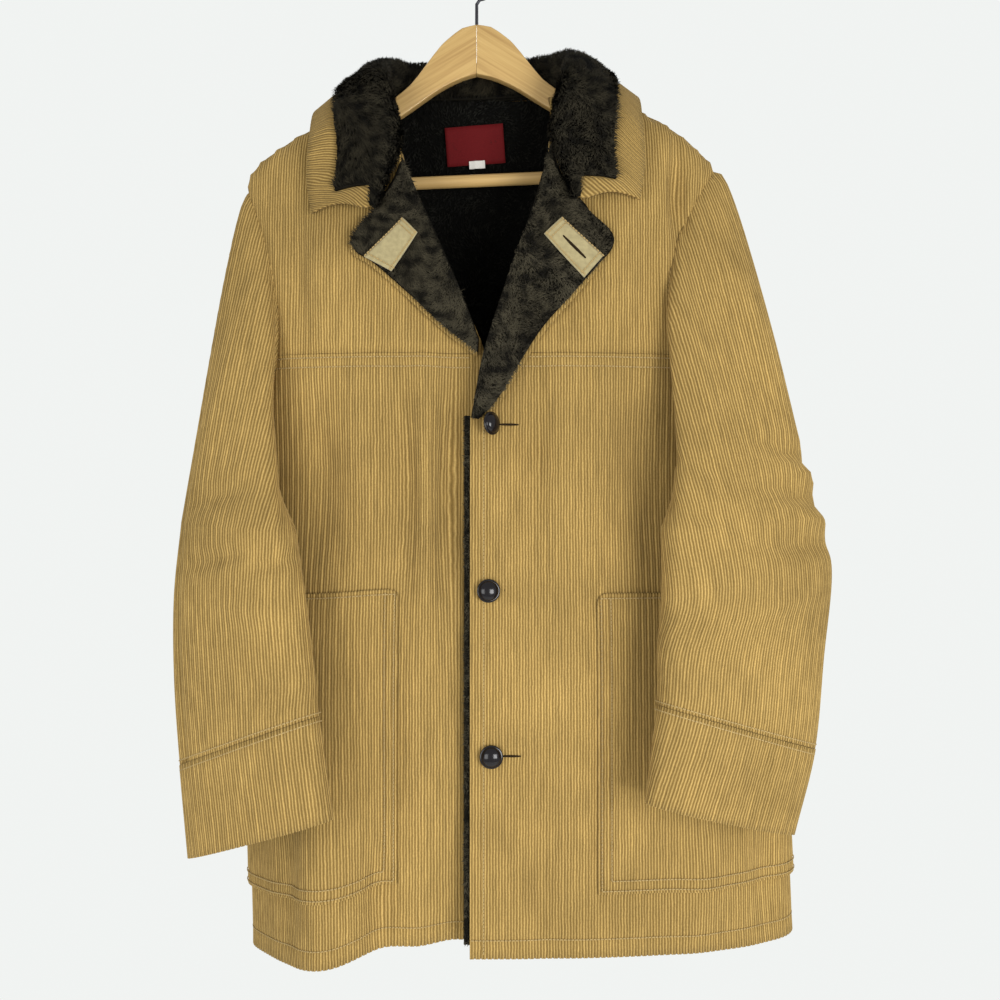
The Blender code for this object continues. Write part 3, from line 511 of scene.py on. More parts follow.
def solidPiece(name, bm, material, sharp):
    mesh = bpy.data.meshes.new(name)
    bm.to_mesh(mesh)
    bm.free()
    mesh.materials.append(material)
    mesh.shade_smooth()
    mesh.set_sharp_from_angle(angle=math.radians(sharp))
    return linked(name, mesh)


def runOf(line):
    # Way along a line of points, from its start
    return np.concatenate([[0], np.linalg.norm(np.diff(line, axis=0), axis=-1).cumsum()])


def sewn(name, node, grid, materials, thick, cut):
    # Cloth piece in place of its solid, with its cut stated
    points, uv, out, base = grid
    piece = keep(clothPiece(name, points, uv, out, materials, thick), node)
    declare(piece, cut, base)
    return piece


# Materials

def newMaterial(name, rough, sheen=0.0, shine=0.08):
    material = bpy.data.materials.new(name)
    material.use_nodes = True
    shader = material.node_tree.nodes["Principled BSDF"]
    shader.inputs["Roughness"].default_value = rough
    shader.inputs["Specular IOR Level"].default_value = shine
    shader.inputs["Sheen Weight"].default_value = sheen
    shader.inputs["Sheen Roughness"].default_value = 0.5
    return material, material.node_tree, shader


def maths(tree, operation, a, b=None):
    made = tree.nodes.new("ShaderNodeMath")
    made.operation = operation
    for i, value in enumerate((a, b)):
        if value is None:
            continue
        if isinstance(value, (int, float)):
            made.inputs[i].default_value = value
        else:
            tree.links.new(value, made.inputs[i])
    return made.outputs[0]


def rampNode(tree, fac, stops):
    made = tree.nodes.new("ShaderNodeValToRGB")
    while len(made.color_ramp.elements) < len(stops):
        made.color_ramp.elements.new(0.5)
    for element, (at, colour) in zip(made.color_ramp.elements, stops):
        element.position, element.color = at, (*colour, 1)
    tree.links.new(fac, made.inputs[0])
    return made.outputs[0]


def noise(tree, vector, scale, detail=2.0):
    made = tree.nodes.new("ShaderNodeTexNoise")
    made.inputs["Scale"].default_value = scale
    made.inputs["Detail"].default_value = detail
    tree.links.new(vector, made.inputs["Vector"])
    return made.outputs["Fac"]


def cutMap(tree):
    place = tree.nodes.new("ShaderNodeUVMap")
    place.uv_map = "cut"
    return place.outputs["UV"]


def cutParts(tree):
    split = tree.nodes.new("ShaderNodeSeparateXYZ")
    tree.links.new(cutMap(tree), split.inputs[0])
    return split.outputs


def tint(tree, colour, low, high, fac):
    # Colour times a factor that runs between two values
    scale = tree.nodes.new("ShaderNodeMapRange")
    scale.inputs["From Min"].default_value, scale.inputs["From Max"].default_value = 0.25, 0.75
    scale.inputs["To Min"].default_value, scale.inputs["To Max"].default_value = low, high
    tree.links.new(fac, scale.inputs["Value"])
    made = tree.nodes.new("ShaderNodeVectorMath")
    made.operation = "SCALE"
    tree.links.new(colour, made.inputs[0])
    tree.links.new(scale.outputs["Result"], made.inputs["Scale"])
    return made.outputs[0]


# Wale colours: groove and middle are painted shade in the deep and the shallow gap between the ribs, the ridge
# colour is a painted highlight on the rib tops, flank lies between.
corduroyLook = {"groove": (0.168, 0.104, 0.029), "flank": (0.262, 0.168, 0.050),
                "ridgeHighlight": (0.470, 0.320, 0.111), "middle": (0.160, 0.099, 0.027)}


def corduroyMaterial(name, bumped):
    material, tree, shader = newMaterial(name, 0.92, 0.12)
    shader.inputs["Sheen Tint"].default_value = (0.85, 0.68, 0.40, 1)
    parts = cutParts(tree)
    position = tree.nodes.new("ShaderNodeTexCoord").outputs["Object"]
    wobble = maths(tree, "MULTIPLY", maths(tree, "SUBTRACT", noise(tree, position, 90.0), 0.5), 0.25)
    phase = maths(tree, "FRACT", maths(tree, "ADD", parts["X"], wobble))
    look = corduroyLook
    # Colour across a pair of ribs: painted shade in the gaps, painted highlight on the rib tops.
    colour = rampNode(tree, phase, ((0.0, look["groove"]), (0.12, look["flank"]), (0.25, look["ridgeHighlight"]),
                                    (0.38, look["flank"]), (0.5, look["middle"]), (0.62, look["flank"]),
                                    (0.75, look["ridgeHighlight"]), (0.88, look["flank"]), (1.0, look["groove"])))
    streak = tree.nodes.new("ShaderNodeCombineXYZ")
    tree.links.new(maths(tree, "MULTIPLY", parts["X"], 2.0), streak.inputs[0])
    tree.links.new(maths(tree, "MULTIPLY", parts["Y"], 22.0), streak.inputs[1])
    colour = tint(tree, colour, 0.80, 1.22, noise(tree, streak.outputs[0], 1.0, 3.0))
    colour = tint(tree, colour, 0.84, 1.16, noise(tree, position, 8.0, 4.0))
    colour = tint(tree, colour, 0.86, 1.14, noise(tree, position, 650.0, 2.0))
    tree.links.new(colour, shader.inputs["Base Color"])
    bump = tree.nodes.new("ShaderNodeBump")
    height = maths(tree, "MULTIPLY", noise(tree, position, 900.0, 2.0), 0.3)
    if bumped:
        rise = rampNode(tree, phase, ((0.0, (0, 0, 0)), (0.14, (0.6, 0.6, 0.6)), (0.3, (1, 1, 1)),
                                      (0.5, (0.8, 0.8, 0.8)), (0.7, (1, 1, 1)), (0.86, (0.6, 0.6, 0.6)),
                                      (1.0, (0, 0, 0))))
        height = maths(tree, "ADD", height, rise)
    bump.inputs["Distance"].default_value = 0.0012 if bumped else 0.0006
    bump.inputs["Strength"].default_value = 0.8 if bumped else 0.5
    tree.links.new(height, bump.inputs["Height"])
    tree.links.new(bump.outputs["Normal"], shader.inputs["Normal"])
    return material


def furMaterial(name, root, tip):
    # Colour from a dark root to a lighter tip of a blade, with a tone for each blade; the darker root is
    # painted shade deep in the pile
    material, tree, shader = newMaterial(name, 0.75, 0.0, 0.12)
    parts = cutParts(tree)
    colour = rampNode(tree, parts["Y"], ((0.0, root), (1.0, tip)))
    colour = tint(tree, colour, 0.2, 2.0, parts["X"])
    tree.links.new(colour, shader.inputs["Base Color"])
    return material


def plainMaterial(name, colour, rough, speck=0.0, scale=400.0, sheen=0.0):
    material, tree, shader = newMaterial(name, rough, sheen)
    tone = tree.nodes.new("ShaderNodeRGB")
    tone.outputs[0].default_value = (*colour, 1)
    position = tree.nodes.new("ShaderNodeTexCoord").outputs["Object"]
    tree.links.new(tint(tree, tone.outputs[0], 1 - speck, 1 + speck, noise(tree, position, scale, 3.0)),
                   shader.inputs["Base Color"])
    return material


woodLook = {"stretch": (9.0, 260.0, 1.0),
            "grain": ((0.3, (0.38, 0.228, 0.075)), (0.5, (0.490, 0.315, 0.110)), (0.7, (0.56, 0.375, 0.140)))}


def woodMaterial():
    material, tree, shader = newMaterial("hangerWood", 0.42, 0.0, 0.4)
    stretch = tree.nodes.new("ShaderNodeMapping")
    stretch.inputs["Scale"].default_value = woodLook["stretch"]
    tree.links.new(cutMap(tree), stretch.inputs["Vector"])
    grain = noise(tree, stretch.outputs["Vector"], 1.0, 4.0)
    colour = rampNode(tree, grain, woodLook["grain"])
    tree.links.new(colour, shader.inputs["Base Color"])
    shader.inputs["Coat Weight"].default_value = 0.2
    return material


corduroy, corduroyFine = corduroyMaterial("corduroyWales", False), corduroyMaterial("corduroyFine", True)
pileBase = plainMaterial("pileBase", (0.0075, 0.0066, 0.0042), 0.95, 0.3)
# The neck lining's backing and pile are darkened nearly to black, painted shade for the inside of the coat.
shadedLiningBase = plainMaterial("shadedLiningBase", (0.0022, 0.0021, 0.0015), 0.95, 0.3)
# Two copies of one pile colour: a darker one for the collar, painted shade, and a lighter one for the lapels
# and the edge strip, painted light.
shadedPileFur = furMaterial("shadedPileFur", (0.0050, 0.0043, 0.0026), (0.0215, 0.0185, 0.0112))
litPileFur = furMaterial("litPileFur", (0.0090, 0.0078, 0.0048), (0.0400, 0.0345, 0.0215))
shadedLiningFur = furMaterial("shadedLiningFur", (0.0015, 0.0015, 0.0011), (0.0062, 0.0060, 0.0042))
suede = plainMaterial("patchSuede", (0.345, 0.290, 0.150), 0.95, 0.16, 240.0, 0.3)
labelRed = plainMaterial("labelRed", (0.098, 0.0060, 0.0070), 0.75, 0.22, 1500.0)
tabWhite = plainMaterial("tabWhite", (0.62, 0.60, 0.55), 0.8, 0.05, 900.0)
thread = plainMaterial("thread", (0.380, 0.275, 0.120), 0.8, 0.1)
# Dark colour of the slits, painted shade in their openings.
slitShade = plainMaterial("slitShade", (0.020, 0.013, 0.006), 0.95, 0.2)
wood = woodMaterial()
lined = (corduroy, pileBase)   # outer and inner face
print("materials made")


# Body panels

def bodyPanel(left, right, low, high, rows, lift, phases=finePhases, scallop=0.0):
    # Points on the body form: columns keep their distance from centre front, clipped at the panel's sides
    zs = np.linspace(float(low(np.zeros(1))[0]), float(high(np.zeros(1))[0]), 60)
    s = waleColumns(left(zs).min(), right(zs).max(), phases)[None, :]
    v = rows[:, None]
    reach = s + 0 * v
    for _ in range(2):
        z = low(reach) * (1 - v) + high(reach) * v
        reach = np.clip(s, left(z.ravel()).reshape(z.shape), right(z.ravel()).reshape(z.shape))
    z = low(reach) * (1 - v) + high(reach) * v
    rise = waleRise(reach) - waleHigh
    z = z - scallop * (1 + rise / waleHigh) * (v == 0)
    base, out = torso(reach, z), facing(reach, z)
    uv = np.stack([reach / wale, z], axis=-1)
    return base + (lift(reach, z) + rise)[..., None] * out, uv, out, base


def steady(value):
    return lambda along: np.full(np.shape(along), value)


def leftRoll(z):
    return track(rollTable, "left", z)


def rightRoll(z):
    return track(rollTable, "right", z)


def leftSide(z):
    return frontEdge(np.ravel(z), 1).reshape(np.shape(z)) - seam / 2


def rightSide(z):
    return seam / 2 - frontEdge(np.ravel(z), -1).reshape(np.shape(z))


def shares(rows):
    return (rows - rows[0]) / (rows[-1] - rows[0])


frontLeft = {
    "flat": (0.36, 0.59), "area": 0.193, "hemStitch": 0.017, "yokeStitch": (0.004, 0.0135),
    "edgeStitch": 0.0135, "creaseGain": 1.7, "creases": (
        (0.030, -0.490, 0.085, -0.530, 0.010, -0.0035), (0.022, -0.652, 0.075, -0.640, 0.008, -0.0022),
        (0.024, -0.812, 0.070, -0.830, 0.008, -0.0020), (0.060, -0.420, 0.050, -0.640, 0.014, -0.0040),
        (0.128, -0.430, 0.118, -0.640, 0.016, 0.0040), (0.160, -0.440, 0.175, -0.600, 0.018, -0.0040),
        (0.105, -0.660, 0.098, -0.900, 0.020, 0.0030), (0.060, -0.860, 0.072, -0.995, 0.016, -0.0035),
        (0.230, -0.880, 0.215, -1.000, 0.022, 0.0045), (0.290, -0.860, 0.300, -1.000, 0.020, -0.0040))}
frontRight = {
    "flat": (0.34, 0.60), "area": 0.1835, "hemStitch": 0.017, "yokeStitch": (0.004, 0.0135),
    "creaseGain": 1.7, "creases": (
        (-0.018, -0.430, -0.030, -0.640, 0.010, -0.0040), (-0.075, -0.430, -0.068, -0.640, 0.014, -0.0045),
        (-0.120, -0.440, -0.112, -0.600, 0.016, 0.0040), (-0.030, -0.660, -0.022, -0.960, 0.014, 0.0030),
        (-0.160, -0.450, -0.150, -0.610, 0.016, -0.0040), (-0.095, -0.900, -0.090, -0.990, 0.014, -0.0050),
        (-0.190, -0.840, -0.200, -1.000, 0.018, -0.0045), (-0.060, -0.700, -0.058, -0.860, 0.012, 0.0025))}


def frontLift(form, edge, side):
    lines = [yokeZ - d for d in form["yokeStitch"]]

    def lift(reach, z):
        above = z - edge(reach)
        high = form["creaseGain"] * creased(form["creases"], reach, z) + groove(z, lines)
        high = high + groove(above, [form["hemStitch"]])
        high = high + hemRoll["high"] * bell((above - hemRoll["middle"]) / hemRoll["wide"])
        return high + ditch(side(z) - reach)
    return lift


frontStep = 0.0165
leftLift = frontLift(frontLeft, steady(hemLeft), leftSide)
rightLiftFlat = frontLift(frontRight, hem, rightSide)


def rightLift(reach, z):
    return rightLiftFlat(reach, z) - sunk(reach, z)


yokeLine = steady(yokeZ - seam / 2)
stitchRows = [hemLeft + frontLeft["hemStitch"]] + [yokeZ - d for d in frontLeft["yokeStitch"]]
rows = shares(heights(hemLeft, yokeZ - seam / 2, frontStep, stitchRows))
grid = bodyPanel(leftRoll, leftSide, steady(hemLeft), yokeLine, rows, leftLift, scallop=hemScallop)
sewn("frontLeft", "front_left", grid, lined, cloth, frontLeft)
grid = bodyPanel(rightSide, steady(underEdge), hem, yokeLine, rows, rightLift, scallop=hemScallop)
sewn("frontRight", "front_right", grid, lined, cloth, frontRight)

yokes = {
    "flat": (0.25, 0.28), "area": 0.046, "step": 0.013, "creaseGain": 1.6,
    "left": (
        (0.205, -0.190, 0.208, -0.300, 0.008, -0.0040), (0.150, -0.220, 0.130, -0.400, 0.018, 0.0035),
        (0.182, -0.280, 0.170, -0.410, 0.014, -0.0030), (0.095, -0.300, 0.085, -0.410, 0.016, -0.0030)),
    "right": (
        (-0.150, -0.230, -0.160, -0.400, 0.018, 0.0035), (-0.185, -0.270, -0.172, -0.410, 0.012, -0.0035),
        (-0.110, -0.310, -0.100, -0.410, 0.014, -0.0035), (-0.060, -0.350, -0.050, -0.412, 0.010, -0.0025))}


def leftYokeLift(reach, z):
    return yokes["creaseGain"] * creased(yokes["left"], reach, z) + ditch(leftSide(z) - reach)


def rightYokeLift(reach, z):
    high = yokes["creaseGain"] * creased(yokes["right"], reach, z) + ditch(rightSide(z) - reach)
    return high - sunk(reach, z)


rows = shares(heights(yokeZ + seam / 2, neckZ, yokes["step"]))
low, high = steady(yokeZ + seam / 2), steady(neckZ)
grid = bodyPanel(leftRoll, leftSide, low, high, rows, leftYokeLift)
sewn("yokeLeft", "yoke_left", grid, lined, cloth, yokes)
grid = bodyPanel(rightSide, rightRoll, low, high, rows, rightYokeLift)
sewn("yokeRight", "yoke_right", grid, lined, cloth, yokes)

pockets = {"flat": (0.245, 0.285), "area": 0.065, "over": seam + cloth + 0.0010, "corner": 0.010,
           "rows": (0.003, 0.0125), "topBand": 0.005, "scallop": 0.0005}


def pocketPanel(side, lift, low, high, sides):
    inner = pocketInner[side]

    def top(reach):
        near = np.clip(pockets["corner"] - np.abs(reach - inner), 0, pockets["corner"])
        return high(reach) - (pockets["corner"] - np.sqrt(pockets["corner"] ** 2 - near ** 2))

    def over(reach, z):
        edges = groove(np.abs(reach - inner), pockets["rows"]) + groove(z - low(reach), pockets["rows"])
        return lift(reach, z) + pockets["over"] + edges + groove(high(reach) - z, [pockets["topBand"]])
    at = heights(edgeAt(low, inner), edgeAt(high, inner), frontStep)
    lines = [at[0] + d for d in pockets["rows"]] + [at[-1] - pockets["topBand"]]
    rows = shares(heights(at[0], at[-1], frontStep, lines))
    return bodyPanel(*sides, low, top, rows, over, scallop=pockets["scallop"])


def between(low, high, share):
    return lambda reach: low(reach) * (1 - share) + high(reach) * share


pocketSides = {1: (steady(pocketInner[1]), leftSide), -1: (rightSide, steady(pocketInner[-1]))}
for side, label, edge, lift in ((1, "Left", steady(hemLeft), leftLift), (-1, "Right", hem, rightLiftFlat)):
    low, high = between(edge, yokeLine, pocketLow), between(edge, yokeLine, pocketHigh)
    grid = pocketPanel(side, lift, low, high, pocketSides[side])
    sewn(f"pocket{label}", f"pocket_{label.lower()}", grid, (corduroy,), cloth, pockets)
print("fronts, yokes and pockets made")

back = {
    "flat": (0.62, 0.88), "area": 0.444, "step": 0.019, "hemStitch": 0.017, "half": 0.37, "hemZ": -0.995,
    "creases": (
        (-0.150, -0.400, -0.120, -0.800, 0.022, 0.0045), (0.170, -0.420, 0.140, -0.820, 0.024, 0.0050),
        (0.050, -0.350, 0.060, -0.700, 0.020, -0.0040), (-0.060, -0.500, -0.040, -0.900, 0.022, -0.0045),
        (-0.170, -0.230, -0.120, -0.330, 0.014, -0.0040), (0.180, -0.220, 0.130, -0.320, 0.014, -0.0040),
        (0.210, -0.480, 0.180, -0.600, 0.014, -0.0040), (-0.200, -0.500, -0.170, -0.620, 0.014, -0.0040))}


def backPanel(form, low, high, limit, lift, phases):
    # Points on the back: columns keep their distance from centre back
    stitchRows = [form["hemZ"] + form["hemStitch"]]
    v = shares(heights(form["hemZ"], neckZ, form["step"], stitchRows))[:, None]
    s = waleColumns(-form["half"], form["half"], phases)[None, :]
    off = s + 0 * v
    for _ in range(2):
        z = low(off) * (1 - v) + high(off) * v
        side = np.where(off < 0, -1, 1)
        centre, edge = np.zeros(z.shape), np.zeros(z.shape)
        for one in (-1, 1):
            here = side == one
            centre[here] = runAt(z[here], one, np.pi) - seam
            edge[here] = limit(z[here], one, centre[here])
        off = np.clip(s, -edge, edge)
    rise = waleRise(off) - waleHigh
    reach = side * (centre - np.abs(off))
    base, out = torso(reach, z), facing(reach, z)
    uv = np.stack([off / wale, z], axis=-1)
    return base + (lift(off, z) + rise)[..., None] * out, uv, out, base


def backLift(off, z):
    return creased(back["creases"], off, z) + groove(z - hem(off), [back["hemStitch"]])


def backLimit(z, side, centre):
    return centre - backEdge(z, side) - seam / 2


grid = backPanel(back, hem, steady(neckZ), backLimit, backLift, coarsePhases)
sewn("backPanel", "back", grid, lined, cloth, back)
print("back made")


# Sleeves

def sleeveForm(side, q, phi):
    # Middle of the sleeve's wall, q 0 to 1 from armhole to biceps and then the table's rows
    ring = np.linspace(0, 1, 361)
    start = armholeStart(ring, side)[0]
    q, phi = np.broadcast_arrays(q[:, None], phi[None, :])
    turn = (phi - sleeveTwist) % 1
    begin = np.stack([np.interp(turn, ring, start[:, i]) for i in range(3)], axis=-1)
    hang = sleeveSection(np.maximum(q - 1, 0), phi, side)
    t = np.clip(q, 0, 1)[..., None]
    puff = 0
    for place, wide, *push in crownFolds[side]:
        off = (turn - place + 0.5) % 1 - 0.5
        puff = puff + bell(off / wide)[..., None] * np.array(push) * np.array((side, 1, 1))
    loft = begin * (1 - t) + hang * t + puff * np.sin(np.pi * np.sqrt(t))
    return np.where(q[..., None] < 1, clearOfBody(loft, side, crownClear * ramp(q / crownRamp)), hang)


def sleeveGrid(side, q, phi):
    # Points of the sleeve's wall and their outward directions
    points = sleeveForm(side, q, phi)
    return points, side * unit(np.cross(np.gradient(points, axis=1), np.gradient(points, axis=0)))


def tucked(phi, side):
    # Seam allowance, a little way under the yoke, front and back
    start, point, inward, out = armholeStart(np.atleast_1d(phi - sleeveTwist) % 1, side)
    tuck = sleeveRows["tuck"] + sleeveRows["armpitTuck"] * np.clip(inward[..., 2:], 0, 1) ** 2
    return point - tuck * inward - (cloth + sleeveRows["under"]) * out


def crownLines(side, phi):
    # Level lines of the crown, so that its wales run straight up into the armhole
    q = np.linspace(0, 1, 41)
    points, skin = sleeveGrid(side, q, phi)
    high = np.maximum.accumulate((points[..., 2] - points[-1, :, 2])[::-1], axis=0)[::-1]
    top = int(high[0].argmax())
    tip = tucked(phi[top], side)[0]
    lines = [(np.array((tip, tip + 1e-6)), skin[0, [top, top]], 0)]
    levels = np.linspace(high[0, top] * 0.99, 0, sleeveRows["crown"])[:-1]
    corners = [high[0, end] + d for end in (0, -1) for d in (-1e-5, 1e-4) if high[0, end] > 0.002]
    for level in np.sort(np.concatenate([levels, corners]))[::-1]:
        first = last = top
        while first > 0 and high[0, first - 1] > level:
            first -= 1
        while last < len(phi) - 1 and high[0, last + 1] > level:
            last += 1
        at = [np.interp(level, high[::-1, j], q[::-1]) for j in range(first, last + 1)]
        line, normal = (np.array([[np.interp(a, q, grid[:, j, i]) for i in range(3)]
                                  for a, j in zip(at, range(first, last + 1))]) for grid in (points, skin))
        place = top - first
        if first > 0:
            line, normal = np.vstack([tucked(phi[first], side), line]), np.vstack([normal[:1], normal])
            place += 1
        if last < len(phi) - 1:
            line, normal = np.vstack([line, tucked(phi[last], side)]), np.vstack([normal, normal[-1:]])
        lines.append((line, normal, place))
    return lines, top


def sleevePanel(lines, lift, scallop=0.0, lap=0.0):
    # Wales keep their distance from one line down the sleeve, clipped at the panel's edges
    runs = []
    for line, normal, place in lines:
        run = runOf(line)
        runs.append(run - run[place])
    s = waleColumns(min(run[0] for run in runs), max(run[-1] for run in runs), finePhases)
    s = np.array([np.clip(s, run[0], run[-1]) for run in runs])
    spine = np.array([line[place] for line, normal, place in lines])
    length = runOf(spine)[:, None] + 0 * s
    point, out = (np.array([[np.interp(row, run, one[kind][:, i]) for i in range(3)]
                            for row, run, one in zip(s, runs, lines)]).transpose(0, 2, 1) for kind in (0, 1))
    out = unit(out)
    rise = waleRise(s) - waleHigh
    if scallop:
        point[-1] += unit(point[-1] - point[-2]) * (scallop * (1 + rise[-1] / waleHigh))[:, None]
    ends = np.array([(run[0], run[-1]) for run in runs])
    inset = np.minimum(s - ends[:, :1], ends[:, 1:] - s) - lap * (ends[:, 1:] - ends[:, :1])
    edge = np.maximum(inset, 0)
    calm = 1 - np.exp(-(edge / (2 * seamSink["wide"])) ** 2)
    high = lift(s - ends[-1].mean(), length) * calm + rise + cloth / 2 + ditch(edge)
    high = (high - (cloth + sleeveRows["under"]) * (inset < 0))[..., None]
    return point + high * out, np.stack([s / wale, length], axis=-1), out, point


def sleeveLines(side, q, phi, place):
    points, skin = sleeveGrid(side, q, phi)
    return [(line, normal, place) for line, normal in zip(points, skin)]


sleeveRows = {"crown": 34, "underCrown": 22, "arm": 40, "around": 241, "tuck": 0.004, "armpitTuck": 0.016,
              "under": 0.0010, "lap": 0.012}
sleeves = {
    (1, "top"): {"flat": (0.27, 0.66), "area": 0.119, "creases": (
        (-0.100, 0.330, -0.010, 0.300, 0.009, -0.0060), (-0.105, 0.372, 0.000, 0.345, 0.009, -0.0065),
        (-0.095, 0.412, 0.015, 0.398, 0.010, -0.0055), (-0.100, 0.350, -0.030, 0.322, 0.008, 0.0040),
        (-0.100, 0.392, -0.020, 0.372, 0.008, 0.0045), (0.095, 0.360, 0.020, 0.385, 0.009, -0.0045),
        (0.090, 0.310, 0.030, 0.330, 0.009, -0.0040), (0.060, 0.080, 0.075, 0.300, 0.014, -0.0050),
        (-0.040, 0.060, -0.060, 0.280, 0.018, 0.0045), (-0.060, 0.450, 0.030, 0.470, 0.012, 0.0035),
        (0.030, 0.100, 0.020, 0.300, 0.016, 0.0030))},
    (1, "under"): {"flat": (0.17, 0.56), "area": 0.063, "creases": (
        (-0.050, 0.250, 0.040, 0.270, 0.010, -0.0050), (-0.040, 0.300, 0.050, 0.320, 0.010, -0.0045),
        (0.000, 0.080, 0.010, 0.220, 0.014, 0.0030))},
    (-1, "top"): {"flat": (0.16, 0.66), "area": 0.068, "creases": (
        (0.070, 0.120, -0.040, 0.020, 0.010, -0.0050), (0.078, 0.200, 0.000, 0.110, 0.010, -0.0045),
        (0.060, 0.160, -0.020, 0.075, 0.010, 0.0040), (-0.070, 0.340, 0.010, 0.310, 0.010, -0.0045),
        (-0.075, 0.400, 0.010, 0.385, 0.010, -0.0045), (0.070, 0.380, 0.000, 0.410, 0.010, -0.0040),
        (-0.045, 0.120, -0.060, 0.300, 0.014, 0.0040), (0.020, 0.240, 0.015, 0.360, 0.016, 0.0030),
        (-0.020, 0.440, 0.050, 0.455, 0.012, 0.0035))},
    (-1, "under"): {"flat": (0.20, 0.62), "area": 0.078, "creases": (
        (-0.060, 0.250, 0.040, 0.270, 0.010, -0.0050), (-0.050, 0.310, 0.060, 0.330, 0.010, -0.0045),
        (0.030, 0.080, 0.020, 0.240, 0.014, 0.0030), (-0.060, 0.400, 0.030, 0.410, 0.011, 0.0035))}}
cuffs = {
    "flat": (0.36, 0.095), "area": 0.033, "rows": 9, "over": 0.0006, "stitches": (-0.05, 0.06),
    "stitchSink": 0.3, "creases": (
        (-0.060, 0.010, -0.050, 0.080, 0.014, 0.0020), (0.070, 0.000, 0.060, 0.070, 0.012, -0.0020))}
cuffQ = 1 + cuffRow
hair = seam / sleeveGirth / 2
seamLines = []
around, lap = sleeveRows["around"], sleeveRows["lap"]
for side, label in ((1, "Left"), (-1, "Right")):
    arm = np.linspace(1, cuffQ - cuffGap, sleeveRows["arm"])
    phi = np.linspace(elbowSeam[side] + hair, inseam - hair, around)
    lines, top = crownLines(side, phi)
    panels = {"top": lines + sleeveLines(side, arm, phi, top)}
    wide = elbowSeam[side] + 1 - inseam
    phi = np.linspace(inseam + hair - lap, inseam + wide - hair + lap, around)
    crown = np.linspace(0, 1, sleeveRows["underCrown"])[:-1]
    lines = sleeveLines(side, np.concatenate([crown, arm]), phi, around // 2)
    panels["under"] = [(tucked(phi, side), *lines[0][1:])] + lines
    lapShare = {"top": 0, "under": lap / (wide + 2 * lap)}
    # The under sleeve folds tightly at the armpit, so both of its faces are corduroy
    sleeveFaces = {"top": lined, "under": (corduroy, corduroy)}
    for kind, lines in panels.items():
        form = sleeves[side, kind]
        grid = sleevePanel(lines, lambda s, d: creased(form["creases"], s, d), lap=lapShare[kind])
        sewn(f"sleeve{kind.capitalize()}{label}", f"sleeve_{kind}_{label.lower()}", grid,
             sleeveFaces[kind], cloth, form)
    ring = np.linspace(inseam, inseam + 1, around)
    q = np.linspace(cuffQ + cuffGap, 1 + sleeveTable[side]["row"][-1], cuffs["rows"])
    grid = sleevePanel(sleeveLines(side, q, ring, around // 2),
                       lambda s, d: creased(cuffs["creases"], s, d) + cuffs["over"], scallop=hemScallop)
    sewn(f"cuff{label}", f"cuff_{label.lower()}", grid, lined, cloth, cuffs)
    for step in cuffs["stitches"]:
        q = cuffQ + step
        (line, out, place), _ = sleeveLines(side, np.array((q, q + 0.01)), ring, 0)
        seamLines.append((line + (cloth / 2 - waleHigh * cuffs["stitchSink"]) * out, out))
print("sleeves and cuffs made")


# Fur

# Shares are a fixed part, then clumps, tufts and chance
furShape = {"lengths": (0.5, 0.2, 0.4, 0.3), "tones": (0.05, 0.2, 0.6, 0.2), "widths": (0.6, 0.8),
            "stray": 0.45, "tiltSpread": 0.25, "twist": 0.6, "bendAt": 0.55, "taper": 0.4, "soft": (0.4, 0.2)}


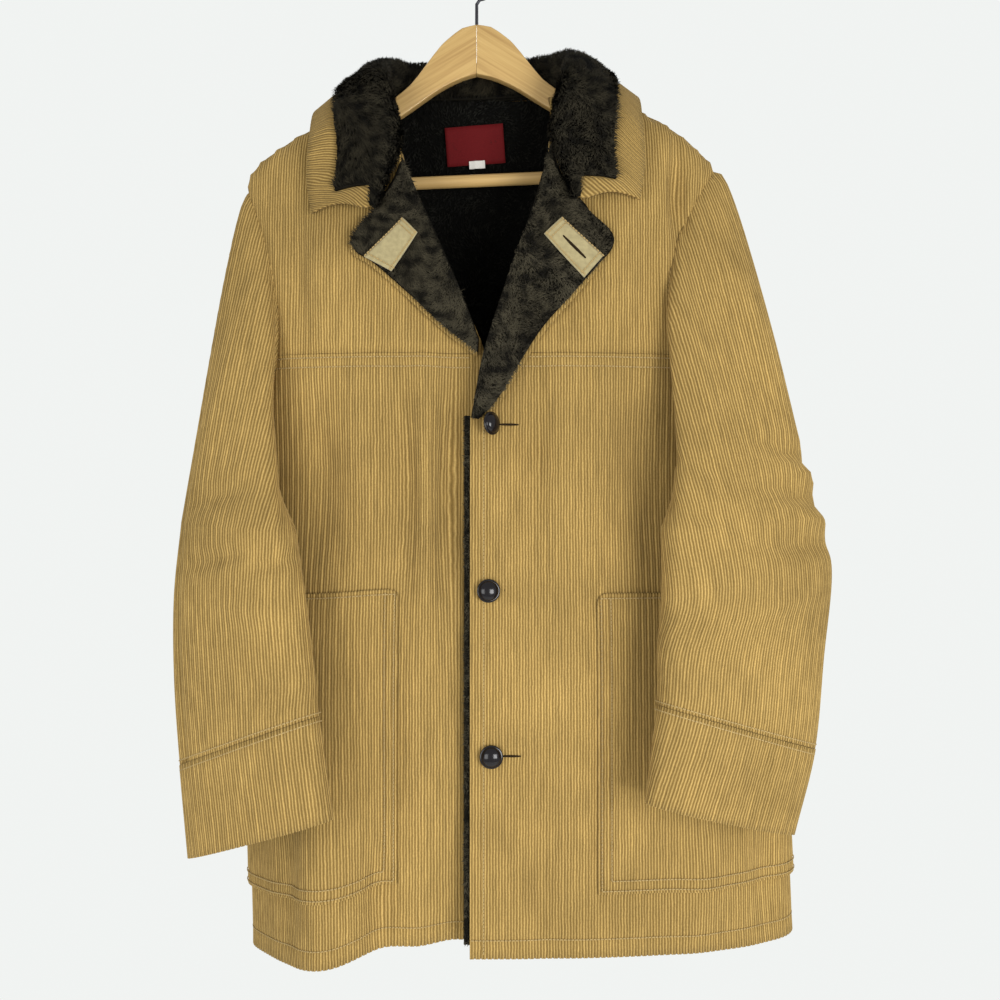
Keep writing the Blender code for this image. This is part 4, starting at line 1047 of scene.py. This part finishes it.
def furMesh(name, points, out, count, form, material):
    # Short bent blades on a grid of points, as one mesh
    one = np.cross(points[1:, :-1] - points[:-1, :-1], points[:-1, 1:] - points[:-1, :-1])
    weight = np.linalg.norm(one, axis=-1).ravel()
    cell = rng.choice(weight.size, count, p=weight / weight.sum())
    r, c = np.divmod(cell, points.shape[1] - 1)
    a, b = rng.random((count, 1)), rng.random((count, 1))

    def at(grid):
        near = grid[r, c] * (1 - a) + grid[r, c + 1] * a
        far = grid[r + 1, c] * (1 - a) + grid[r + 1, c + 1] * a
        return near * (1 - b) + far * b
    root, normal = at(points), unit(at(out))
    along = unit(points[r, c + 1] - points[r, c] + 1e-9)
    across = np.cross(normal, along)
    x, z = root[:, :1] + root[:, 1:2], root[:, 2:]
    turn = form["turn"] + 1.2 * np.sin(52 * x + 19 * z) + np.sin(43 * z - 27 * x + 2)
    turn = turn + furShape["stray"] * rng.normal(size=(count, 1))
    bend = np.cos(turn) * along + np.sin(turn) * across
    clump = 0.5 + 0.25 * np.sin(140 * x + 60 * z) + 0.25 * np.sin(120 * z - 90 * x)
    tuft = [lumps.noise(Vector(spot) * form["tufts"]) for spot in root]
    tuft = np.clip(0.5 + 0.9 * np.array(tuft)[:, None], 0, 1)

    def mixed(share):
        return share[0] + share[1] * clump + share[2] * tuft + share[3] * rng.random((count, 1))
    long = form["length"] * mixed(furShape["lengths"])
    wide = form["width"] * (furShape["widths"][0] + furShape["widths"][1] * rng.random((count, 1)))
    tilt = np.clip(form["tilt"] + furShape["tiltSpread"] * rng.normal(size=(count, 1)), 0.1, 1.2)
    flat = unit(np.cross(normal, bend) + furShape["twist"] * rng.normal(size=(count, 3)))
    middle = root + long * furShape["bendAt"] * (normal * (1 - 0.2 * tilt) + 0.4 * tilt * bend)
    tip = root + long * (normal * (1 - 0.45 * tilt) + tilt * bend)
    flat = flat * np.sign((np.cross(flat, tip - root) * normal).sum(axis=-1, keepdims=True))
    foot, waist = flat * wide / 2, flat * wide * furShape["taper"]
    verts = np.stack([root - foot, root + foot, middle - waist, middle + waist, tip], axis=1)
    mesh = bpy.data.meshes.new(name)
    mesh.vertices.add(5 * count)
    mesh.vertices.foreach_set("co", verts.ravel())
    loops = (np.array((0, 1, 3, 2, 2, 3, 4))[None, :] + 5 * np.arange(count)[:, None]).ravel()
    mesh.loops.add(7 * count)
    mesh.loops.foreach_set("vertex_index", loops)
    mesh.polygons.add(2 * count)
    starts = (np.array((0, 4))[None, :] + 7 * np.arange(count)[:, None]).ravel()
    mesh.polygons.foreach_set("loop_start", starts)
    mesh.update(calc_edges=True)
    tone = np.clip(mixed(furShape["tones"]), 0, 1)
    rise = np.array((0, 0, 0.5, 0.5, 1.0))[None, :]
    uv = np.stack([tone + 0 * rise, rise + 0 * tone], axis=-1).reshape(-1, 2)
    mesh.uv_layers.new(name="cut").data.foreach_set("uv", uv[loops].ravel())
    mesh.materials.append(material)
    mesh.shade_smooth()
    bent, chance = furShape["soft"]
    soft = unit(normal + bent * bend + chance * rng.normal(size=(count, 3)))
    mesh.normals_split_custom_set_from_vertices(np.repeat(soft, 5, axis=0))
    return linked(name, mesh)


collar = {"flat": (0.62, 0.15), "area": 0.067, "grain": math.radians(25), "finePitch": 0.0044, "thick": 0.003,
          "start": 0.02, "endRamp": 0.05, "edgeRamp": 0.025, "spine": 32}
k, w = np.meshgrid(np.linspace(-collarEnd, collarEnd, 170), np.linspace(collar["start"], 1, 36))
middle, out = collarPoint(k, w), collarFacing(k, w)
border = np.maximum(ramp((np.abs(k) - pileEnd) / collar["endRamp"]),
                    ramp((w - pileEdge) / collar["edgeRamp"]))
along = runOf(middle[collar["spine"]])[None, :] + 0 * w
across = np.linalg.norm(np.diff(middle, axis=0), axis=-1).cumsum(axis=0)
across = np.vstack([np.zeros((1, k.shape[1])), across])
slant = (along * math.cos(collar["grain"]) - across * math.sin(collar["grain"])) / collar["finePitch"]
points = middle + (borderRise * border)[..., None] * out
grid = (points, np.stack([slant, across], axis=-1), out, middle)
piece = sewn("collarCloth", "collar", grid, (corduroyFine, pileBase), collar["thick"], collar)
piece.modifiers["wall"].material_offset = 0
for polygon in piece.data.polygons[:2 * (k.shape[1] - 1)]:
    polygon.material_index = 1

collarPile = {"flat": (0.60, 0.13), "area": 0.051, "base": 0.0046, "thick": 0.0032, "narrow": (0.46, 0.12),
              "blades": 48000,
              "fur": {"turn": 1.2, "length": 0.0066, "width": 0.0010, "tilt": 0.6, "tufts": 110}}
share, w = np.meshgrid(np.linspace(-1, 1, 150), np.linspace(collar["start"], pileEdge, 34))
narrow = ramp((w - collarPile["narrow"][0]) / collarPile["narrow"][1])
k = share * (collarEnd - (collarEnd - pileEnd) * narrow)
out = collarFacing(k, w)
points = collarPoint(k, w) + collarPile["base"] * out
grid = (points, np.stack([k, w], axis=-1), out, points)
sewn("collarPile", "collar_pile", grid, (pileBase,), collarPile["thick"], collarPile)
keep(furMesh("collarFur", points, out, collarPile["blades"], collarPile["fur"], shadedPileFur))

lapels = {"flat": (0.095, 0.27), "area": 0.012, "above": -0.05, "step": 0.05, "trimMost": 0.3,
          "furBase": 0.0040, "pileThick": 0.0025, "blades": 15000,
          "fur": {"turn": -0.6, "length": 0.0058, "width": 0.0010, "tilt": 0.65, "tufts": 110}}
patches = {"flat": (0.028, 0.058), "area": 0.0015, "pad": 0.0022, "pillow": 0.0008, "thick": 0.0018,
           "stitchRows": (0, 11), "stitchColumns": (1, 3, 22)}
slit = {"ends": (0.25, 0.80), "half": 0.05, "swell": (0.2, 0.65), "over": 0.0034, "thick": 0.0005}
slitRows = np.array((-1.0, 0.0, 1.0))[:, None]


def onPatch(side, u, w, high):
    # Grid on a lapel patch, at shares of its two ways
    corner = np.array(patchCorners[side])
    u, w = (a[..., None] for a in np.broadcast_arrays(u, w))
    spot = (corner[0] * (1 - w) + corner[1] * w) * (1 - u) + (corner[3] * (1 - w) + corner[2] * w) * u
    x, z = spot[..., 0], spot[..., 1]
    out = facing(x, z)
    points = torso(x, z) + (lapelSeat(x, z, side) + cloth + pile + high)[..., None] * out
    return points, np.stack([x, z], axis=-1), out, points


for side, label in ((1, "Left"), (-1, "Right")):
    v = np.linspace(lapels["above"], 1, 62)[:, None]
    line = {}
    for column in ("roll_x", "roll_z", "out_x", "out_z"):
        first, second = track(lapelTable[side], column, np.array((0.0, lapels["step"])))
        slope = (second - first) / lapels["step"]
        line[column] = track(lapelTable[side], column, np.maximum(v, 0)) + np.minimum(v, 0) * slope
    width = np.hypot(line["out_x"] - line["roll_x"], line["out_z"] - line["roll_z"])
    for kind, trim, high in (("lapel", 0, cloth), ("lapelPile", lapelEdge, cloth + lapels["furBase"])):
        u = np.linspace(0, 1, 22)[None, :] * (1 - np.minimum(trim / width, lapels["trimMost"]))
        x = line["roll_x"] * (1 - u) + line["out_x"] * u
        z = line["roll_z"] * (1 - u) + line["out_z"] * u
        out = facing(x, z)
        points = torso(x, z) + (lapelSeat(x, z, side) + high)[..., None] * out
        grid = (points, np.stack([x / wale, z], axis=-1), out, points)
        if kind == "lapel":
            sewn(f"lapel{label}", f"lapel_{label.lower()}", grid, (corduroyFine,),
                 cloth, lapels)
        else:
            sewn(f"lapelPile{label}", f"lapel_pile_{label.lower()}", grid, (pileBase,),
                 lapels["pileThick"], lapels)
            keep(furMesh(f"litPileFur{label}", points, out, lapels["blades"], lapels["fur"], litPileFur))
    u, w = np.meshgrid(np.linspace(0, 1, 25), np.linspace(0, 1, 13))
    grid = onPatch(side, u, w, patches["pad"] + patches["pillow"] * np.sin(np.pi * w) ** 0.5)
    sewn(f"lapelPatch{label}", f"lapel_patch_{label.lower()}", grid, (suede,), patches["thick"],
         patches)
    points, uv, out, base = grid
    for row in patches["stitchRows"]:
        seamLines.append((points[row], out[0]))
    for column in patches["stitchColumns"]:
        seamLines.append((points[:, column], out[:, 0]))
    if side > 0:
        # A dark sheet over the patch's slit, painted shade.
        u = np.linspace(*slit["ends"], 18)[None, :]
        w = slitRows * slit["half"] * np.sin(np.pi * (u - slit["swell"][0]) / slit["swell"][1]) ** 0.5 + 0.5
        points, uv, out, base = onPatch(side, u, w, slit["over"])
        keep(clothPiece("patchSlit", points, uv, out, (slitShade,), slit["thick"]))

strip = {"flat": (0.024, 0.512), "area": 0.0122, "inset": 0.0012, "under": 0.0012, "thick": 0.0035,
         "aboveHem": 0.012, "overTop": 0.014, "furColumns": 4, "blades": 4500,
         "fur": {"turn": 3.1, "length": 0.0032, "width": 0.0009, "tilt": 0.7, "tufts": 160}}
reach, z = np.meshgrid(np.linspace(stripX + strip["inset"], stripX + stripWidth, 8),
                       np.linspace(hemLeft + strip["aboveHem"], stripTop + strip["overTop"], 90))
out = facing(reach, z)
points = torso(reach, z) - (cloth + seam + strip["under"]) * out
grid = (points, np.stack([reach, z], axis=-1), out, points)
sewn("edgePile", "edge_pile", grid, (pileBase,), strip["thick"], strip)
points, out = points[:, :strip["furColumns"]], out[:, :strip["furColumns"]]
# The edge strip takes the lighter copy of the pile fur, painted light.
keep(furMesh("edgeFur", points, out, strip["blades"], strip["fur"], litPileFur))

liningCut = {"flat": (0.25, 0.325), "area": 0.078, "under": 0.0040, "thick": 0.0034, "overNeck": 0.006,
             "blades": 20000,
             "fur": {"turn": 0.4, "length": 0.0050, "width": 0.0012, "tilt": 0.6, "tufts": 110}}
off, z = np.meshgrid(np.linspace(-1, 1, 49), np.linspace(liningLow, neckZ + liningCut["overNeck"], 40))
side = np.where(off < 0, -1, 1)
centre, half = np.zeros(z.shape), np.zeros(z.shape)
for one in (-1, 1):
    here = side == one
    centre[here] = runAt(z[here], one, np.pi) - seam
    half[here] = np.minimum(liningHalf, liningShare * (centre[here] - backEdge(z[here], one)))
reach = side * (centre - half * np.abs(off))
out = facing(reach, z)
points = torso(reach, z) - (cloth + liningGap + liningCut["under"]) * out
grid = (points, np.stack([off, z], axis=-1), -out, points)
# Near-black lining backing and pile, painted shade inside the coat.
sewn("liningBack", "lining_back", grid, (shadedLiningBase,), liningCut["thick"], liningCut)
keep(furMesh("shadedLiningFur", points, -out, liningCut["blades"], liningCut["fur"], shadedLiningFur))

labels = {"flat": (labelWidth, labelHeight), "area": labelWidth * labelHeight, "over": 0.0012}
tabs = {"flat": (tabWidth, tabHeight), "area": tabWidth * tabHeight, "cut": (tabWidth, 0.010), "over": 0.0032}
labelCloth = {"thick": 0.0008, "wave": 0.0006}
inside = cloth + 2 * liningGap + lining
for name, nodeName, slot, material, form, x, z in (
        ("neckLabel", "neck_label", "label_red", labelRed, labels, labelX, labelZ),
        ("labelTab", "label_tab", "tab_white", tabWhite, tabs, tabX, labelZ - labelHeight / 2)):
    u, v = np.meshgrid(np.linspace(-0.5, 0.5, 19), np.linspace(-0.5, 0.5, 9))
    across, up = u * form["flat"][0], v * form["flat"][1]
    atX = x + across * math.cos(labelTilt) - up * math.sin(labelTilt)
    atZ = z + across * math.sin(labelTilt) + up * math.cos(labelTilt)
    side = np.where(atX < 0, -1, 1)
    centre = np.where(side < 0, *(runAt(atZ, one, np.pi).reshape(atZ.shape) for one in (-1, 1))) - seam
    reach = side * (centre - np.abs(atX))
    out = facing(reach, atZ)
    depth = inside + form["over"] + labelCloth["wave"] * np.sin(9 * u + 2)
    points = torso(reach, atZ) - depth[..., None] * out
    grid = (points, np.stack([u, v], axis=-1), -out, points)
    sewn(name, nodeName, grid, (material,), labelCloth["thick"], form)
print("collar, lapels, lining and label made")


# Stitching and buttonholes

def bodyLine(reach, z, over):
    reach, z = np.broadcast_arrays(np.asarray(reach, float), np.asarray(z, float))
    out = facing(reach, z)
    return torso(reach, z) + np.asarray(over)[..., None] * out, out


stitching = {"pitch": 0.0036, "length": 0.0026, "width": 0.0010, "high": 0.0009, "sink": -0.0007,
             "proud": 0.0006, "near": 0.001, "inset": 0.001, "hemInset": 0.002,
             "yokeEnds": (0.045, -0.006), "hemZ": -0.98,
             "hemStart": -0.004, "edgeLow": 0.004, "edgeTop": -0.425, "pocketGap": 0.004, "pocketLowZ": -0.93,
             "pocketTopZ": -0.66, "pocketInset": 0.002}
grooved, raised = stitchDeep + stitching["sink"], stitching["sink"] + stitching["proud"]


def stitchLine(reach, z, lift, over):
    reach, z = np.broadcast_arrays(reach, z)
    seamLines.append(bodyLine(reach, z, lift(reach, z) + over))


for d in frontLeft["yokeStitch"]:
    z = yokeZ - d
    reach = np.linspace(stitching["yokeEnds"][0], edgeAt(leftSide, z) - stitching["inset"], 60)
    stitchLine(reach, z, leftLift, grooved)
    reach = np.linspace(edgeAt(rightSide, z) + stitching["inset"], stitching["yokeEnds"][1], 60)
    stitchLine(reach, z, rightLift, grooved)
z = np.linspace(hemLeft + stitching["edgeLow"], stitching["edgeTop"], 110)
stitchLine(leftRoll(z) + frontLeft["edgeStitch"], z, leftLift, raised)
reach = np.linspace(stitching["hemStart"], edgeAt(leftSide, stitching["hemZ"]) - stitching["hemInset"], 120)
stitchLine(reach, hemLeft + frontLeft["hemStitch"], leftLift, grooved)
reach = np.linspace(edgeAt(rightSide, stitching["hemZ"]) + stitching["hemInset"], 0.0, 120)
stitchLine(reach, hem(reach) + frontRight["hemStitch"], rightLift, grooved)
for side, edge, lift, far in ((1, steady(hemLeft), leftLift, leftSide), (-1, hem, rightLiftFlat, rightSide)):
    inner, inset, over = pocketInner[side], side * stitching["inset"], pockets["over"] + raised
    low, high = between(edge, yokeLine, pocketLow), between(edge, yokeLine, pocketHigh)
    for d in pockets["rows"]:
        z = np.linspace(edgeAt(low, inner) + d, edgeAt(high, inner) - stitching["pocketGap"], 70)
        stitchLine(inner + side * d, z, lift, over)
        reach = np.linspace(inner + side * d, edgeAt(far, stitching["pocketLowZ"]) - inset, 90)
        stitchLine(reach, low(reach) + d, lift, over)
    start = inner + side * stitching["pocketInset"]
    reach = np.linspace(start, edgeAt(far, stitching["pocketTopZ"]) - inset, 90)
    stitchLine(reach, high(reach) - pockets["topBand"], lift, over)
box = np.array([(i, j, k) for i in (-0.5, 0.5) for j in (-0.5, 0.5) for k in (0, 1)])
faces = np.array(((0, 1, 3, 2), (4, 6, 7, 5), (0, 4, 5, 1), (2, 3, 7, 6), (1, 5, 7, 3), (0, 2, 6, 4)))
verts = []
for line, out in seamLines:
    run = runOf(line)
    at = np.arange(stitching["pitch"] / 2, run[-1], stitching["pitch"])
    ways = ((at + stitching["near"], line), (at - stitching["near"], line), (at, out))
    ahead, behind, normal = (np.stack([np.interp(place, run, grid[:, i]) for i in range(3)], axis=-1)
                             for place, grid in ways)
    along, normal = unit(ahead - behind + 1e-9), unit(normal)
    side = np.cross(along, normal)
    part = box[None, :, :1] * stitching["length"] * along[:, None]
    part = part + box[None, :, 1:2] * stitching["width"] * side[:, None]
    part = part + box[None, :, 2:] * stitching["high"] * normal[:, None]
    verts.append(((ahead + behind) / 2)[:, None] + part)
verts = np.concatenate(verts)
quads = (faces[None] + 8 * np.arange(len(verts))[:, None, None]).reshape(-1, 4).tolist()
mesh = bpy.data.meshes.new("stitching")
mesh.from_pydata(verts.reshape(-1, 3), [], quads)
mesh.materials.append(thread)
keep(linked("stitching", mesh))

holes = {"length": 0.020, "start": 0.009, "half": 0.0011, "over": 0.0004, "thick": 0.0006,
         "swell": (0.04, 0.92)}
# Dark sheets over the buttonholes, painted shade in the slits.
for i in range(3):
    u = np.linspace(0, 1, 20)[None, :]
    swell = np.sin(np.pi * (holes["swell"][0] + holes["swell"][1] * u)) ** 0.4
    z = buttonTable["z"][i] + holes["half"] * slitRows * swell
    reach = buttonTable["x"][i] + holes["start"] + holes["length"] * u + 0 * z
    out = facing(reach, z)
    points = torso(reach, z) + (holes["over"] + leftLift(reach, z))[..., None] * out
    uv = np.stack([reach, z], axis=-1)
    keep(clothPiece(f"buttonhole{i + 1}", points, uv, out, (slitShade,), holes["thick"]))
print("stitching made")


# Buttons and hanger

buttonLook, tree, shader = newMaterial("buttonGloss", 0.16, 0.0, 0.35)
shader.inputs["Base Color"].default_value = (0.006, 0.005, 0.006, 1)
top = shank + buttonRim
profile = [(0, 0), (shankRadius, 0), (shankRadius, shank), (buttonRadius - rimInset, shank)]
profile += [(buttonRadius - rimInset + rimInset * math.sin(a),
             shank + buttonRim / 2 - buttonRim / 2 * math.cos(a))
            for a in np.linspace(0.4, math.pi - 0.4, 6)]
profile += [(math.cos(a) * (buttonRadius - domeInset), top + math.sin(a) * buttonDome)
            for a in np.linspace(0, math.pi / 2, 10)]
for i in range(3):
    bm = bmesh.new()
    verts = [bm.verts.new((r, 0, h)) for r, h in profile]
    edges = [bm.edges.new(pair) for pair in zip(verts, verts[1:])]
    bmesh.ops.spin(bm, geom=verts + edges, cent=(0, 0, 0), axis=(0, 0, 1), angle=math.tau, steps=40,
                   use_merge=True)
    bmesh.ops.remove_doubles(bm, verts=bm.verts, dist=1e-6)
    bmesh.ops.recalc_face_normals(bm, faces=bm.faces)
    x, z = np.array(buttonTable["x"][i]), np.array(buttonTable["z"][i])
    out = Vector(facing(x, z))
    aim = Matrix.Rotation(math.radians(buttonTable["lean"][i]), 3, "Z") @ out
    turn = aim.to_track_quat("Z", "Y").to_matrix()
    bmesh.ops.transform(bm, matrix=turn.to_4x4(), verts=bm.verts)
    clear = seam - min(v.co.dot(out) for v in bm.verts)
    bmesh.ops.translate(bm, vec=Vector(torso(x, z)) + out * clear, verts=bm.verts)
    keep(solidPiece(f"button{i + 1}", bm, buttonLook, 50), f"button_{i + 1}")


def grainUv(mesh, tilt):
    layer = mesh.uv_layers.new(name="cut")
    for loop in mesh.loops:
        x, y, z = mesh.vertices[loop.vertex_index].co
        along, across = x * math.cos(tilt) + z * math.sin(tilt), z * math.cos(tilt) - x * math.sin(tilt)
        layer.data[loop.index].uv = (along, across + y)


hanger = {"tilt": math.radians(-31), "bevel": 0.0028, "steps": 26, "reach": 0.19, "straight": 0.35,
          "tipFrom": 0.15, "joint": 0.001, "sharp": 40}
for side, label in ((1, "left"), (-1, "right")):
    bm = bmesh.new()
    xs = np.unique(np.concatenate([np.linspace(0, hanger["reach"], hanger["steps"]), armTable["x"]]))
    upper = np.interp(xs, armTable["x"], armTable["top"]) * hanger["straight"]
    upper = upper + track(armTable, "top", xs) * (1 - hanger["straight"])
    tip = np.interp(xs, armTable["x"], armTable["under"])
    under = np.where(xs < hanger["tipFrom"], track(armTable, "under", xs), tip)
    x = side * (xs + np.where(xs == 0, seam / 2, 0))
    outline = list(zip(x, upper + lean * x)) + list(zip(x, under + lean * x))[::-1]
    face = bm.faces.new([bm.verts.new((px, -armThick / 2, pz)) for px, pz in outline])
    grown = bmesh.ops.extrude_face_region(bm, geom=[face])
    far = [part for part in grown["geom"] if isinstance(part, bmesh.types.BMVert)]
    bmesh.ops.translate(bm, vec=(0, armThick, 0), verts=far)
    rim = [e for e in bm.edges if abs(e.verts[0].co.y - e.verts[1].co.y) < 1e-6
           and max(abs(v.co.x) for v in e.verts) >= hanger["joint"]]
    bmesh.ops.bevel(bm, geom=rim, offset=hanger["bevel"], segments=3, affect="EDGES", profile=0.5,
                    clamp_overlap=True)
    bmesh.ops.recalc_face_normals(bm, faces=bm.faces)
    piece = solidPiece(f"hangerArm_{label}", bm, wood, hanger["sharp"])
    grainUv(piece.data, side * hanger["tilt"])
    keep(piece, f"hanger_arm_{label}")
bm = bmesh.new()
bmesh.ops.create_cone(bm, cap_ends=True, segments=32, radius1=barRadius, radius2=barRadius,
                      depth=2 * barHalf)
bmesh.ops.rotate(bm, verts=bm.verts, matrix=Matrix.Rotation(math.pi / 2 - math.atan(lean), 3, "Y"))
bmesh.ops.translate(bm, vec=(0, 0, barZ), verts=bm.verts)
piece = solidPiece("hangerBar", bm, wood, hanger["sharp"])
grainUv(piece.data, math.atan(lean))
keep(piece, "hanger_bar")
print("buttons and hanger made")


# Stage

stageLook = {"floorZ": -1.9, "floorRadius": 1.6, "floorTint": (0.86, 0.86, 0.85),
             "camera": (0.0243, -1.2, -0.559), "lens": 41.4,
             "world": ((0.0, (0.58, 0.58, 0.58)), (0.45, (0.58, 0.58, 0.58)),
                       (0.75, (0.87, 0.89, 0.88)), (1.0, (0.88, 0.90, 0.885)))}
bm = bmesh.new()
bmesh.ops.create_circle(bm, cap_ends=True, segments=96, radius=stageLook["floorRadius"])
bmesh.ops.translate(bm, vec=(0, 0, stageLook["floorZ"]), verts=bm.verts)
mesh = bpy.data.meshes.new("floor")
bm.to_mesh(mesh)
bm.free()
mesh.materials.append(plainMaterial("floorPale", stageLook["floorTint"], 0.9))
linked("floor", mesh)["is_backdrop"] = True

scene = bpy.context.scene
world = bpy.data.worlds.new("studio")
world.use_nodes = True
tree = world.node_tree
split = tree.nodes.new("ShaderNodeSeparateXYZ")
tree.links.new(tree.nodes.new("ShaderNodeTexCoord").outputs["Generated"], split.inputs[0])
behind = maths(tree, "ADD", maths(tree, "MULTIPLY", split.outputs["Y"], 0.5), 0.5)
tree.links.new(rampNode(tree, behind, stageLook["world"]), tree.nodes["Background"].inputs["Color"])
scene.world = world


def areaLight(name, place, aim, size, power):
    light = bpy.data.lights.new(name, "AREA")
    light.size, light.energy = size, power
    holder = bpy.data.objects.new(name, light)
    holder.location = place
    holder.rotation_euler = (Vector(aim) - Vector(place)).to_track_quat("-Z", "Y").to_euler()
    bpy.context.collection.objects.link(holder)


areaLight("key", (0.95, -1.6, -0.75), (0.0, 0.0, -0.65), 0.8, 25)
areaLight("fill", (-1.0, -1.6, -0.75), (0.0, 0.0, -0.65), 1.0, 15)
areaLight("back", (0.6, 1.9, 0.3), (0.0, 0.0, -0.55), 1.2, 26)

camera = bpy.data.cameras.new("camera")
camera.lens, camera.sensor_width = stageLook["lens"], 36
holder = bpy.data.objects.new("camera", camera)
holder.location = stageLook["camera"]
holder.rotation_euler = (math.pi / 2, 0, 0)
bpy.context.collection.objects.link(holder)
scene.camera = holder
scene.view_settings.view_transform = "Standard"
print("stage set")

low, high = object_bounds()
